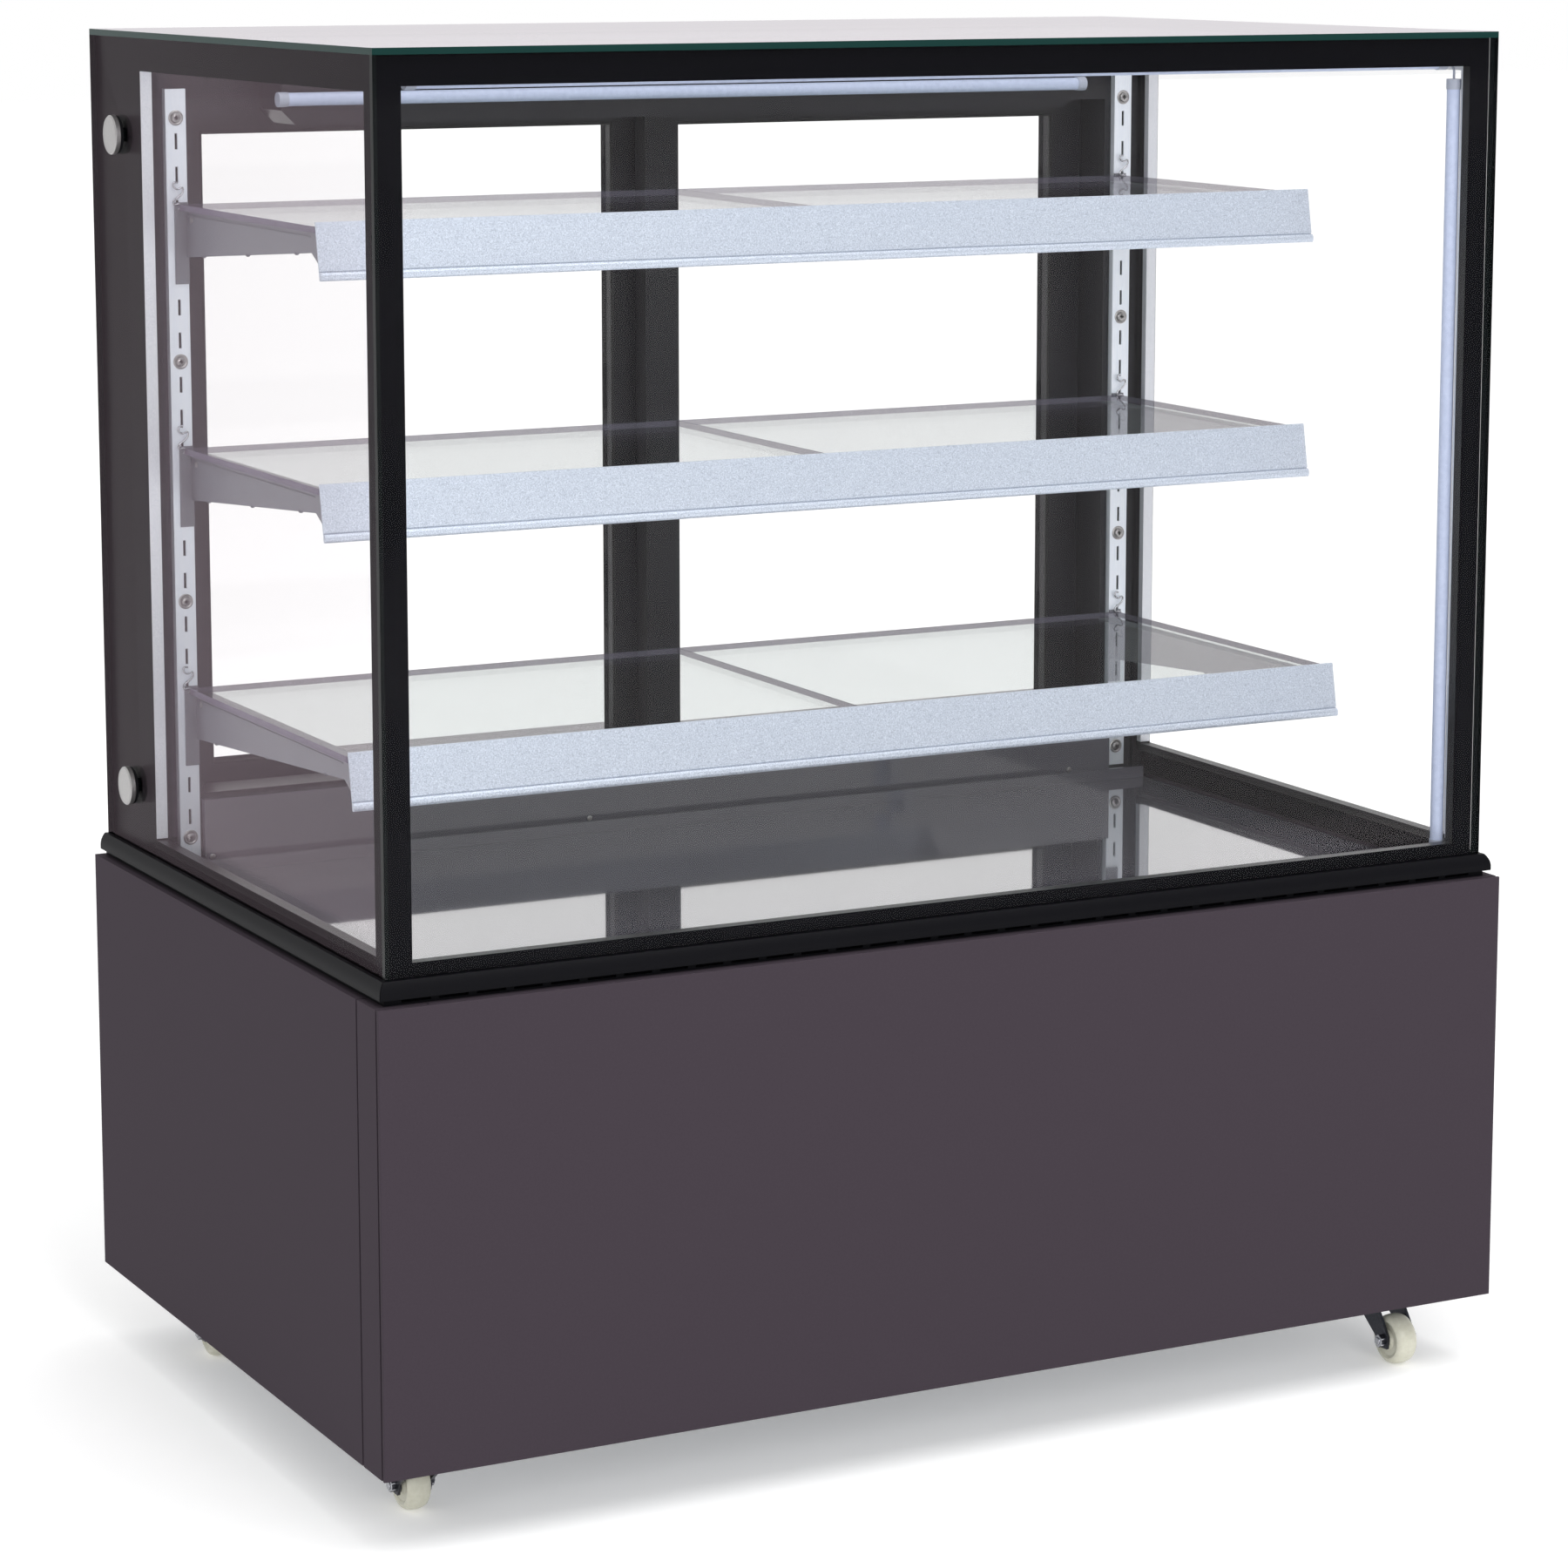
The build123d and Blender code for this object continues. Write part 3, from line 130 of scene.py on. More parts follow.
def new_tree(name: str) -> tuple[bpy.types.Material, bpy.types.NodeTree]:
    """Start an empty material.

    Args:
        name: name of the real material and how it was made.

    Returns:
        The material and its emptied node tree.
    """
    material = bpy.data.materials.new(name)
    material.use_nodes = True
    material.node_tree.nodes.clear()
    return material, material.node_tree


def close_tree(tree: bpy.types.NodeTree, shader: bpy.types.NodeSocket) -> None:
    """Join the last shader to the material's output."""
    add_node(tree, "ShaderNodeOutputMaterial", links={"Surface": shader})


@dataclass(frozen=True)
class Grained:
    """A surface with a grain in its colour, gloss and relief.

    The grain's size is in millimetres, and stretch scales it along X, Y and Z, so a brushed
    grain is long one way. A zero spread or relief leaves that socket plain.
    """

    name: str
    base: str
    accent: str
    roughness: float
    metallic: float = 0.0
    grain_mm: float = 2.0
    stretch: tuple[float, float, float] = (1.0, 1.0, 1.0)
    colour_spread: float = 0.5
    gloss_spread: float = 0.06
    relief_mm: float = 0.02
    specular: float = 0.5
    coat: float = 0.0
    glow: float = 0.0
    cells: bool = False

    def build(self) -> bpy.types.Material:
        """Make the material from its fields."""
        material, tree = new_tree(self.name)
        place = add_node(tree, "ShaderNodeTexCoord").outputs["Object"]
        frequency = 1.0 / (self.grain_mm * MM)
        scale = tuple(frequency * s for s in self.stretch)
        mapped = add_node(
            tree, "ShaderNodeMapping", values={"Scale": scale}, links={"Vector": place}
        ).outputs[0]
        if self.cells:
            grain = add_node(
                tree,
                "ShaderNodeTexVoronoi",
                values={"Scale": 1.0},
                links={"Vector": mapped},
            ).outputs["Color"]
            grain = add_node(
                tree, "ShaderNodeRGBToBW", links={"Color": grain}
            ).outputs[0]
        else:
            grain = add_node(
                tree,
                "ShaderNodeTexNoise",
                values={"Scale": 1.0, "Detail": 3.0, "Roughness": 0.6},
                links={"Vector": mapped},
            ).outputs[0]
        contrast = add_node(
            tree,
            "ShaderNodeMapRange",
            values={
                "From Min": 0.3,
                "From Max": 0.7,
                "To Min": 0.5 - self.colour_spread / 2,
                "To Max": 0.5 + self.colour_spread / 2,
            },
            links={"Value": grain},
        ).outputs[0]
        colour = add_node(
            tree,
            "ShaderNodeMix",
            settings={"data_type": "RGBA"},
            values={6: linear(self.base), 7: linear(self.accent)},
            links={0: contrast},
        ).outputs[2]
        gloss = add_node(
            tree,
            "ShaderNodeMapRange",
            values={
                "To Min": self.roughness - self.gloss_spread / 2,
                "To Max": self.roughness + self.gloss_spread / 2,
            },
            links={"Value": grain},
        ).outputs[0]
        links = {"Base Color": self.shade(tree, place, colour), "Roughness": gloss}
        if self.relief_mm:
            links["Normal"] = add_node(
                tree,
                "ShaderNodeBump",
                values={"Strength": 0.6, "Distance": self.relief_mm * MM},
                links={"Height": grain},
            ).outputs[0]
        values = {
            "Metallic": self.metallic,
            "Specular IOR Level": self.specular,
            "Coat Weight": self.coat,
        }
        if self.glow:
            values["Emission Strength"] = self.glow
            values["Emission Color"] = linear(self.accent)
        shader = add_node(tree, "ShaderNodeBsdfPrincipled", values=values, links=links)
        close_tree(tree, shader.outputs[0])
        return material

    def shade(
        self,
        tree: bpy.types.NodeTree,
        place: bpy.types.NodeSocket,
        colour: bpy.types.NodeSocket,
    ) -> bpy.types.NodeSocket:
        """Change the colour over part of the piece; the plain finish leaves it alone."""
        return colour


@dataclass(frozen=True)
class BlackFronted(Grained):
    """A bright bar that turns black along its front and its foot, in metres."""

    black_up_to: float = 0.0
    black_below: float = 0.0

    def shade(
        self,
        tree: bpy.types.NodeTree,
        place: bpy.types.NodeSocket,
        colour: bpy.types.NodeSocket,
    ) -> bpy.types.NodeSocket:
        """Turn the colour black in front of a depth and below a height.

        Args:
            tree: node tree of the finish.
            place: object coordinates.
            colour: the plain colour.

        Returns:
            The colour with its front and foot black.
        """
        split = add_node(tree, "ShaderNodeSeparateXYZ", links={0: place})
        behind = add_node(
            tree,
            "ShaderNodeMath",
            settings={"operation": "GREATER_THAN"},
            values={1: self.black_up_to},
            links={0: split.outputs["Y"]},
        ).outputs[0]
        above = add_node(
            tree,
            "ShaderNodeMath",
            settings={"operation": "GREATER_THAN"},
            values={1: self.black_below},
            links={0: split.outputs["Z"]},
        ).outputs[0]
        bright = add_node(
            tree,
            "ShaderNodeMath",
            settings={"operation": "MULTIPLY"},
            links={0: behind, 1: above},
        ).outputs[0]
        return add_node(
            tree,
            "ShaderNodeMix",
            settings={"data_type": "RGBA"},
            values={6: linear("#09090b")},
            links={0: bright, 7: colour},
        ).outputs[2]


@dataclass(frozen=True)
class Pane:
    """Float glass: clear broad faces that mirror more at a shallow angle, tinted cut edges."""

    name: str
    faces: PaneFace
    tint: str = "#ffffff"
    edge: str = "#0d1112"
    mirror: str = "#f0ecf0"
    reflect: float = 0.03
    rim: float = 0.9
    edge_roughness: float = 0.2
    edge_shine: float = 0.08

    def build(self) -> bpy.types.Material:
        """Make the material from its fields."""
        material, tree = new_tree(self.name)
        normal = add_node(tree, "ShaderNodeTexCoord").outputs["Normal"]
        split = add_node(tree, "ShaderNodeSeparateXYZ", links={0: normal})
        along = add_node(
            tree,
            "ShaderNodeMath",
            settings={"operation": "ABSOLUTE"},
            links={0: split.outputs[self.faces.value]},
        ).outputs[0]
        broad = add_node(
            tree,
            "ShaderNodeMath",
            settings={"operation": "GREATER_THAN"},
            values={1: 0.5},
            links={0: along},
        ).outputs[0]
        facing = add_node(
            tree, "ShaderNodeLayerWeight", values={"Blend": 0.5}
        ).outputs["Facing"]
        steep = add_node(
            tree,
            "ShaderNodeMath",
            settings={"operation": "POWER"},
            values={1: 5.0},
            links={0: facing},
        ).outputs[0]
        share = add_node(
            tree,
            "ShaderNodeMath",
            settings={"operation": "MULTIPLY_ADD"},
            values={1: self.rim, 2: self.reflect},
            links={0: steep},
        ).outputs[0]
        clear = add_node(
            tree, "ShaderNodeBsdfTransparent", values={"Color": linear(self.tint)}
        ).outputs[0]
        mirror = add_node(
            tree,
            "ShaderNodeBsdfGlossy",
            values={"Color": linear(self.mirror), "Roughness": 0.02},
        ).outputs[0]
        face = add_node(
            tree, "ShaderNodeMixShader", links={0: share, 1: clear, 2: mirror}
        ).outputs[0]
        cut = add_node(
            tree,
            "ShaderNodeBsdfPrincipled",
            values={
                "Base Color": linear(self.edge),
                "Roughness": self.edge_roughness,
                "Specular IOR Level": self.edge_shine,
            },
        ).outputs[0]
        both = add_node(
            tree, "ShaderNodeMixShader", links={0: broad, 1: cut, 2: face}
        ).outputs[0]
        close_tree(tree, both)
        return material


# Flat polyester powder on folded steel: an even dull taupe with a faint orange peel. The peel is
# about 0.6 mm across and is drawn at 2.5 mm so that it shows.
POWDER_PANEL = Grained(
    "polyester_powder_on_steel",
    "#3b343b",
    "#403940",
    0.7,
    grain_mm=2.5,
    relief_mm=0.015,
    specular=0.04,
)
# Fine satin powder on aluminium section: near black with a blue cast and a soft gloss.
POWDER_FRAME = Grained(
    "satin_powder_on_aluminium",
    "#121217",
    "#18181e",
    0.38,
    grain_mm=1.5,
    relief_mm=0.008,
    specular=0.3,
)
# ABS from a grained mould: black, slightly soft shine. The same black also serves as painted
# shade inside the slotted uprights.
ABS_AND_PAINTED_SHADE = Grained(
    "moulded_abs",
    "#09090c",
    "#101014",
    0.45,
    grain_mm=0.9,
    relief_mm=0.02,
    specular=0.06,
)
# Hot-dip zinc: pale grey crystals about 9 mm across, each with its own shine.
GALVANISED = Grained(
    "hot_dip_galvanised_sheet",
    "#8e9196",
    "#b9bcc0",
    0.42,
    metallic=0.9,
    grain_mm=9.0,
    relief_mm=0.0,
    gloss_spread=0.2,
    cells=True,
)
# Dark passivated zinc plate on the castor pressings: almost black, with bright worn spots.
DARK_ZINC = Grained(
    "black_passivated_zinc", "#2c2d33", "#4c4d54", 0.3, metallic=0.8, grain_mm=3.0
)
# Bright zinc plate on cold-rolled strip: light, bluish, faintly drawn lengthwise.
BRIGHT_ZINC = Grained(
    "bright_zinc_on_rolled_strip",
    "#dfe6f2",
    "#f2f6fc",
    0.36,
    metallic=0.35,
    grain_mm=1.2,
    stretch=(1.0, 1.0, 0.06),
    relief_mm=0.006,
)
# Silver metallic lacquer on extruded aluminium: the flakes are 0.05 mm and are drawn at 1.1 mm,
# so the sparkle shows as a fine speckle.
SILVER_LACQUER = Grained(
    "silver_flake_lacquer",
    "#9aa4b4",
    "#dde5f1",
    0.38,
    metallic=0.4,
    grain_mm=1.1,
    colour_spread=0.9,
    relief_mm=0.01,
)
# Mid-grey powder on pressed steel brackets.
BRACKET_GREY = Grained(
    "grey_powder_on_pressed_steel", "#66686f", "#757780", 0.42, grain_mm=1.6
)
# Stainless steel turned on a lathe: satin grey, close fine lines.
TURNED_STEEL = Grained(
    "turned_stainless_steel", "#8f8e8f", "#b4b2b1", 0.34, metallic=0.85, grain_mm=1.0
)
# Black fired ceramic ink on glass: deep, smooth and even.
FIRED_INK = Grained(
    "fired_ceramic_ink",
    "#08080b",
    "#0e0e12",
    0.3,
    grain_mm=4.0,
    relief_mm=0.0,
    gloss_spread=0.04,
    specular=0.02,
)
# Stove enamel on the cooled deck: dark violet grey and mirror smooth.
STOVE_ENAMEL = Grained(
    "stove_enamel_on_sheet",
    "#5a5860",
    "#626068",
    0.05,
    grain_mm=60.0,
    relief_mm=0.0,
    gloss_spread=0.02,
    specular=1.0,
    coat=1.0,
)
# Extruded frosted polycarbonate over a row of diodes: milky and bluish, softly lit.
FROSTED_TUBE = Grained(
    "frosted_polycarbonate", "#a3aec9", "#bcc6de", 0.45, grain_mm=5.0, glow=0.05
)
LAMP_CAP = Grained("moulded_polycarbonate", "#9aa0b0", "#aab0c0", 0.4, grain_mm=1.5)
# Aluminium foil strip rolled into a hollow bar between the panes: white-bright.
ROLLED_ALUMINIUM = BlackFronted(
    "rolled_aluminium_strip",
    "#cfd3db",
    "#eef0f5",
    0.35,
    metallic=0.35,
    grain_mm=1.5,
    relief_mm=0.004,
    black_up_to=-0.3405,
    black_below=0.5415,
)
FIN_STOCK = Grained(
    "aluminium_fin_stock", "#a9adb4", "#c6c9cf", 0.35, metallic=0.9, grain_mm=1.5
)
COPPER = Grained(
    "drawn_copper_tube", "#a8603c", "#c88258", 0.3, metallic=1.0, grain_mm=2.5
)
BLACK_ENAMEL = Grained(
    "stoved_black_enamel", "#0c0c0d", "#17171a", 0.18, grain_mm=3.0, relief_mm=0.01
)
MOULDED_RUBBER = Grained(
    "moulded_nitrile_rubber", "#121213", "#1d1d1f", 0.7, grain_mm=1.2, relief_mm=0.04
)
# Polyurethane foam board in plastic-faced sheet: off-white and dull.
FOAM_SKIN = Grained("foam_board_skin", "#d6d6d0", "#e2e2dc", 0.55, grain_mm=4.0)
# Cast nylon: warm cream, waxy, with a slight mottle about 4 mm across.
CAST_NYLON = Grained(
    "moulded_nylon", "#c4c2b0", "#d6d5c6", 0.36, grain_mm=4.0, relief_mm=0.02
)
DISPLAY_LENS = Grained(
    "tinted_acrylic", "#07070a", "#0c0c11", 0.06, grain_mm=8.0, relief_mm=0.0
)
SPRING_WIRE = Grained(
    "nickel_plated_spring_wire", "#9d9ea4", "#c5c6cb", 0.22, metallic=0.9, grain_mm=1.0
)
HOLE_DARK = Grained("pierced_hole_shade", "#3c3d44", "#474850", 0.8, grain_mm=1.0)

FRONT_PANE = Pane("float_glass_front", PaneFace.Y, reflect=0.006)
SIDE_PANE = Pane(
    "float_glass_side", PaneFace.X, mirror="#b4a2ac", reflect=0.008, rim=0.4
)
TOP_PANE = Pane("float_glass_top", PaneFace.Z, edge="#12302d", reflect=0.04)
SHELF_PANE = Pane(
    "float_glass_shelf", PaneFace.Z, tint="#eef2f0", edge="#6d6878", reflect=0.04, rim=0.6
)
DOOR_PANE = Pane("float_glass_door", PaneFace.Y, reflect=0.01)

SLOT_FINISH: dict[str, Grained | Pane] = {
    "zinc_sheet": GALVANISED,
    "cabinet_paint": POWDER_PANEL,
    "foam_panel": FOAM_SKIN,
    "black_enamel": BLACK_ENAMEL,
    "rubber": MOULDED_RUBBER,
    "finned_aluminium": FIN_STOCK,
    "copper": COPPER,
    "black_plastic": ABS_AND_PAINTED_SHADE,
    "castor_zinc": DARK_ZINC,
    "frame_black": POWDER_FRAME,
    "spacer_aluminium": ROLLED_ALUMINIUM,
    "black_frit": FIRED_INK,
    "satin_steel": TURNED_STEEL,
    "bright_zinc": BRIGHT_ZINC,
    "grey_bracket": BRACKET_GREY,
    "satin_aluminium": SILVER_LACQUER,
    "lamp_tube": FROSTED_TUBE,
    "lamp_cap": LAMP_CAP,
    "dark_deck": STOVE_ENAMEL,
    "nylon": CAST_NYLON,
}
PANE_FINISH: dict[str, Pane] = {
    "front_glass": FRONT_PANE,
    "left_glass": SIDE_PANE,
    "right_glass": SIDE_PANE,
    "top_glass": TOP_PANE,
    "shelf_glass": SHELF_PANE,
    "left_door_glass": DOOR_PANE,
    "right_door_glass": DOOR_PANE,
}


class Paintbox:
    """Builds each finish once and hands it out."""

    def __init__(self) -> None:
        """Start with nothing mixed."""
        self.mixed: dict[str, bpy.types.Material] = {}

    def take(self, finish: Grained | Pane) -> bpy.types.Material:
        """Give the material of a finish, made on first use."""
        if finish.name not in self.mixed:
            self.mixed[finish.name] = finish.build()
        return self.mixed[finish.name]


# ---------------------------------------------------------------- mesh helpers


def along_axis(centre: tuple, axis: tuple) -> Matrix:
    """Matrix that puts a piece made on +Z at a place, pointing along an axis.

    Args:
        centre: place in millimetres.
        axis: direction of the piece's own +Z.

    Returns:
        The placing matrix, in metres.
    """
    turn = Vector(axis).to_track_quat("Z", "Y").to_matrix().to_4x4()
    return Matrix.Translation(Vector(centre) * MM) @ turn


def turned(profile: list[tuple[float, float]], steps: int = 32) -> bpy.types.Mesh:
    """Spin an outline of (radius, height) pairs, in millimetres, round +Z.

    Args:
        profile: outline from the first pole or rim to the last.
        steps: flats round the turn.

    Returns:
        The turned mesh.
    """
    shape = bmesh.new()
    verts = [shape.verts.new((r * MM, 0.0, h * MM)) for r, h in profile]
    edges = [shape.edges.new(pair) for pair in zip(verts, verts[1:])]
    bmesh.ops.spin(
        shape,
        geom=verts + edges,
        cent=(0, 0, 0),
        axis=(0, 0, 1),
        angle=math.tau,
        steps=steps,
        use_merge=True,
        use_duplicate=False,
    )
    bmesh.ops.remove_doubles(shape, verts=shape.verts, dist=1e-7)
    return keep(shape)


def keep(shape: bmesh.types.BMesh) -> bpy.types.Mesh:
    """Store a bmesh as mesh data with its faces pointing outwards."""
    bmesh.ops.recalc_face_normals(shape, faces=shape.faces)
    data = bpy.data.meshes.new("pattern")
    shape.to_mesh(data)
    shape.free()
    return data


def stamp(
    target: bmesh.types.BMesh, pattern: bpy.types.Mesh, matrix: Matrix
) -> None:
    """Add a copy of a small mesh, placed by a matrix, to a bigger one."""
    copy = pattern.copy()
    copy.transform(matrix)
    target.from_mesh(copy)
    bpy.data.meshes.remove(copy)


def bar(
    target: bmesh.types.BMesh, low: tuple, high: tuple, round_mm: float = 0.0
) -> None:
    """Add a block between two corners, in millimetres, with its edges rounded.

    Args:
        target: mesh that takes the block.
        low: lowest corner.
        high: highest corner.
        round_mm: size of the rounded edges, none if zero.
    """
    middle = Vector([(a + b) / 2 for a, b in zip(low, high)]) * MM
    size = Vector([abs(b - a) for a, b in zip(low, high)]) * MM
    matrix = Matrix.Translation(middle) @ Matrix.Diagonal((*size, 1.0))
    made = bmesh.ops.create_cube(target, size=1.0, matrix=matrix)
    if round_mm:
        edges = {e for v in made["verts"] for e in v.link_edges}
        bmesh.ops.bevel(
            target,
            geom=list(edges),
            affect="EDGES",
            offset=round_mm * MM,
            segments=2,
            profile=0.5,
            material=-1,
        )


def fit_out(
    name: str,
    shape: bmesh.types.BMesh,
    material: bpy.types.Material,
    body: str,
    sharp_deg: float = 35.0,
) -> bpy.types.Object:
    """Turn a bmesh into a piece that rides a body.

    Args:
        name: name of the piece.
        shape: finished bmesh, freed here.
        material: finish of the piece.
        body: CAD body it moves with.
        sharp_deg: edges sharper than this stay crisp.

    Returns:
        The new object.
    """
    bmesh.ops.recalc_face_normals(shape, faces=shape.faces)
    data = bpy.data.meshes.new(name)
    shape.to_mesh(data)
    shape.free()
    data.polygons.foreach_set("use_smooth", [True] * len(data.polygons))
    data.set_sharp_from_angle(angle=math.radians(sharp_deg))
    data.materials.append(material)
    piece = bpy.data.objects.new(name, data)
    bpy.context.scene.collection.objects.link(piece)
    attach(piece, body)
    log.info("%s: %d faces on %s", name, len(data.polygons), body)
    return piece


# ---------------------------------------------------------------- fixings


@dataclass
class Fixings:
    """Screw, rivet and bolt heads, in millimetres, with the knob clamps of the side glass."""

    paint: Paintbox
    upright_x: float = 541.0
    upright_face: float = 254.0
    screw_heights: tuple[float, ...] = (538.0, 776.0, 1014.0, 1252.0)
    cover_face: float = 246.0
    cover_screws: tuple[float, ...] = (-521.0, -105.6, 476.0)
    cover_screw_height: float = 518.0
    rear_face: float = 372.0
    rear_screw_x: float = 570.5
    rear_heights: tuple[float, ...] = (115.0, 289.5, 464.0)
    castor_x: float = 524.0
    castor_y: float = 287.0
    bolt_step: tuple[float, float] = (20.0, 28.0)
    plate_under: float = 75.0
    clamp_y: float = 295.0
    clamp_heights: tuple[float, float] = (588.0, 1235.0)
    glass_x: float = 586.0
    clamp_radius: float = 19.25
    clamp_stand: float = 9.0

    def cross_head(self, radius: float, height: float) -> bpy.types.Mesh:
        """Domed screw head with a cross recess cut in its crown.

        Args:
            radius: radius of the head.
            height: height of the head.

        Returns:
            The head, standing on its own XY plane.
        """
        shape = bmesh.new()
        steps = 24
        rings = []
        for share, rise in ((1.0, 0.0), (1.0, 0.35), (0.92, 0.75), (0.66, 1.0)):
            ring = bmesh.ops.create_circle(
                shape,
                cap_ends=False,
                radius=radius * share * MM,
                segments=steps,
                matrix=Matrix.Translation((0, 0, height * rise * MM)),
            )["verts"]
            rings.append({e for v in ring for e in v.link_edges})
        for lower, upper in zip(rings, rings[1:]):
            bmesh.ops.bridge_loops(shape, edges=list(lower | upper))
        half, reach = radius * 0.13, radius * 0.5
        outline = []
        for quarter in range(4):
            turn = Matrix.Rotation(math.tau / 4 * quarter, 3, "Z")
            for x, y in ((half, half), (reach, half), (reach, -half)):
                outline.append(turn.inverted() @ Vector((x, y, height)) * MM)
        verts = [shape.verts.new(p) for p in outline]
        cross = [
            shape.edges.new((verts[i], verts[(i + 1) % len(verts)]))
            for i in range(len(verts))
        ]
        bmesh.ops.bridge_loops(shape, edges=list(rings[-1]) + cross)
        sunk = bmesh.ops.extrude_edge_only(shape, edges=cross)["geom"]
        low = [v for v in sunk if isinstance(v, bmesh.types.BMVert)]
        bmesh.ops.translate(shape, verts=low, vec=(0, 0, -height * 0.6 * MM))
        floor = [e for e in sunk if isinstance(e, bmesh.types.BMEdge)]
        bmesh.ops.edgeloop_fill(shape, edges=floor)
        bmesh.ops.edgeloop_fill(shape, edges=list(rings[0]))
        return keep(shape)

    def hex_head(self, across: float, height: float) -> bpy.types.Mesh:
        """Bolt head with six flats and a chamfered crown."""
        shape = bmesh.new()
        bmesh.ops.create_cone(
            shape,
            cap_ends=True,
            segments=6,
            radius1=across * MM / 2,
            radius2=across * MM / 2,
            depth=height * MM,
            matrix=Matrix.Translation((0, 0, height * MM / 2)),
        )
        crown = [e for e in shape.edges if all(v.co.z > 0 for v in e.verts)]
        bmesh.ops.bevel(
            shape,
            geom=crown,
            affect="EDGES",
            offset=0.5 * MM,
            segments=2,
            profile=0.5,
            material=-1,
        )
        return keep(shape)

    def heads(self) -> None:
        """Build every head over the CAD fasteners and hide those."""
        shape = bmesh.new()
        front = (0, -1, 0)
        washer = turned([(4.4, 0.0), (7.5, 0.0), (7.5, 0.5), (6.4, 1.0), (4.4, 0.45)])
        big = self.cross_head(4.6, 2.3)
        small = self.cross_head(2.9, 1.3)
        middle = self.cross_head(4.3, 1.8)
        for side in Side:
            for z in self.screw_heights:
                spot = (side.value * self.upright_x, self.upright_face, z)
                stamp(shape, washer, along_axis(spot, front))
                stamp(
                    shape, big, along_axis((spot[0], spot[1] - 0.45, z), front)
                )
            for z in self.rear_heights:
                spot = (side.value * self.rear_screw_x, self.rear_face, z)
                stamp(shape, middle, along_axis(spot, (0, 1, 0)))
        for x in self.cover_screws:
            spot = (x, self.cover_face, self.cover_screw_height)
            stamp(shape, small, along_axis(spot, front))
        bolt = self.hex_head(8.0, 2.9)
        for sx in (-1, 1):
            for sy in (-1, 1):
                for bx in (-1, 1):
                    for by in (-1, 1):
                        spot = (
                            sx * self.castor_x + bx * self.bolt_step[0],
                            sy * self.castor_y + by * self.bolt_step[1],
                            self.plate_under,
                        )
                        stamp(shape, bolt, along_axis(spot, (0, 0, -1)))
        self.rivets(shape)
        piece = fit_out(
            "fastener_heads", shape, self.paint.take(TURNED_STEEL), CASE
        )
        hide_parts("fasteners")

    def rivets(self, shape: bmesh.types.BMesh) -> None:
        """Add the domed rivets of the shelf arms."""
        dome = turned([(3.2, 0.0), (3.1, 0.45), (2.3, 0.95), (1.1, 1.18), (0.0, 1.2)], 16)
        for top, nose in zip(SHELF_TOPS, SHELF_NOSES):
            for y, drop in ((238.0, 15.0), (nose + 12.0, 12.0), (nose + 3.0, 34.0)):
                for side in Side:
                    spot = (side.value * ARM_FACE, y, top - drop)
                    stamp(shape, dome, along_axis(spot, (side.value, 0, 0)))

    def clamps(self) -> None:
        """Build the knob clamps: a black collar on the glass under a satin steel cap."""
        cap_high = self.clamp_stand - 3.0
        radius = self.clamp_radius
        cap = turned(
            [
                (0.0, 0.0),
                (radius - 0.6, 0.0),
                (radius, 0.6),
                (radius, cap_high - 1.4),
                (radius - 1.4, cap_high),
                (radius - 2.6, cap_high),
                (radius - 3.0, cap_high - 0.3),
                (0.0, cap_high - 0.3),
            ],
            48,
        )
        collar = turned(
            [
                (0.0, 0.0),
                (radius - 1.2, 0.0),
                (radius - 0.8, 0.5),
                (radius - 1.6, 3.0),
                (0.0, 3.0),
            ],
            48,
        )
        caps, collars = bmesh.new(), bmesh.new()
        for side in Side:
            for z in self.clamp_heights:
                out = (side.value, 0, 0)
                face = side.value * self.glass_x
                stamp(collars, collar, along_axis((face, self.clamp_y, z), out))
                spot = (face + side.value * 3.0, self.clamp_y, z)
                stamp(caps, cap, along_axis(spot, out))
        piece = fit_out(
            "clamp_caps", caps, self.paint.take(TURNED_STEEL), CASE
        )
        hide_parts("glass_clamps")
        fit_out(
            "clamp_collars", collars, self.paint.take(ABS_AND_PAINTED_SHADE), CASE
        )

    def build(self) -> None:
        """Build all the fixings."""
        self.heads()
        self.clamps()


# ---------------------------------------------------------------- shelves


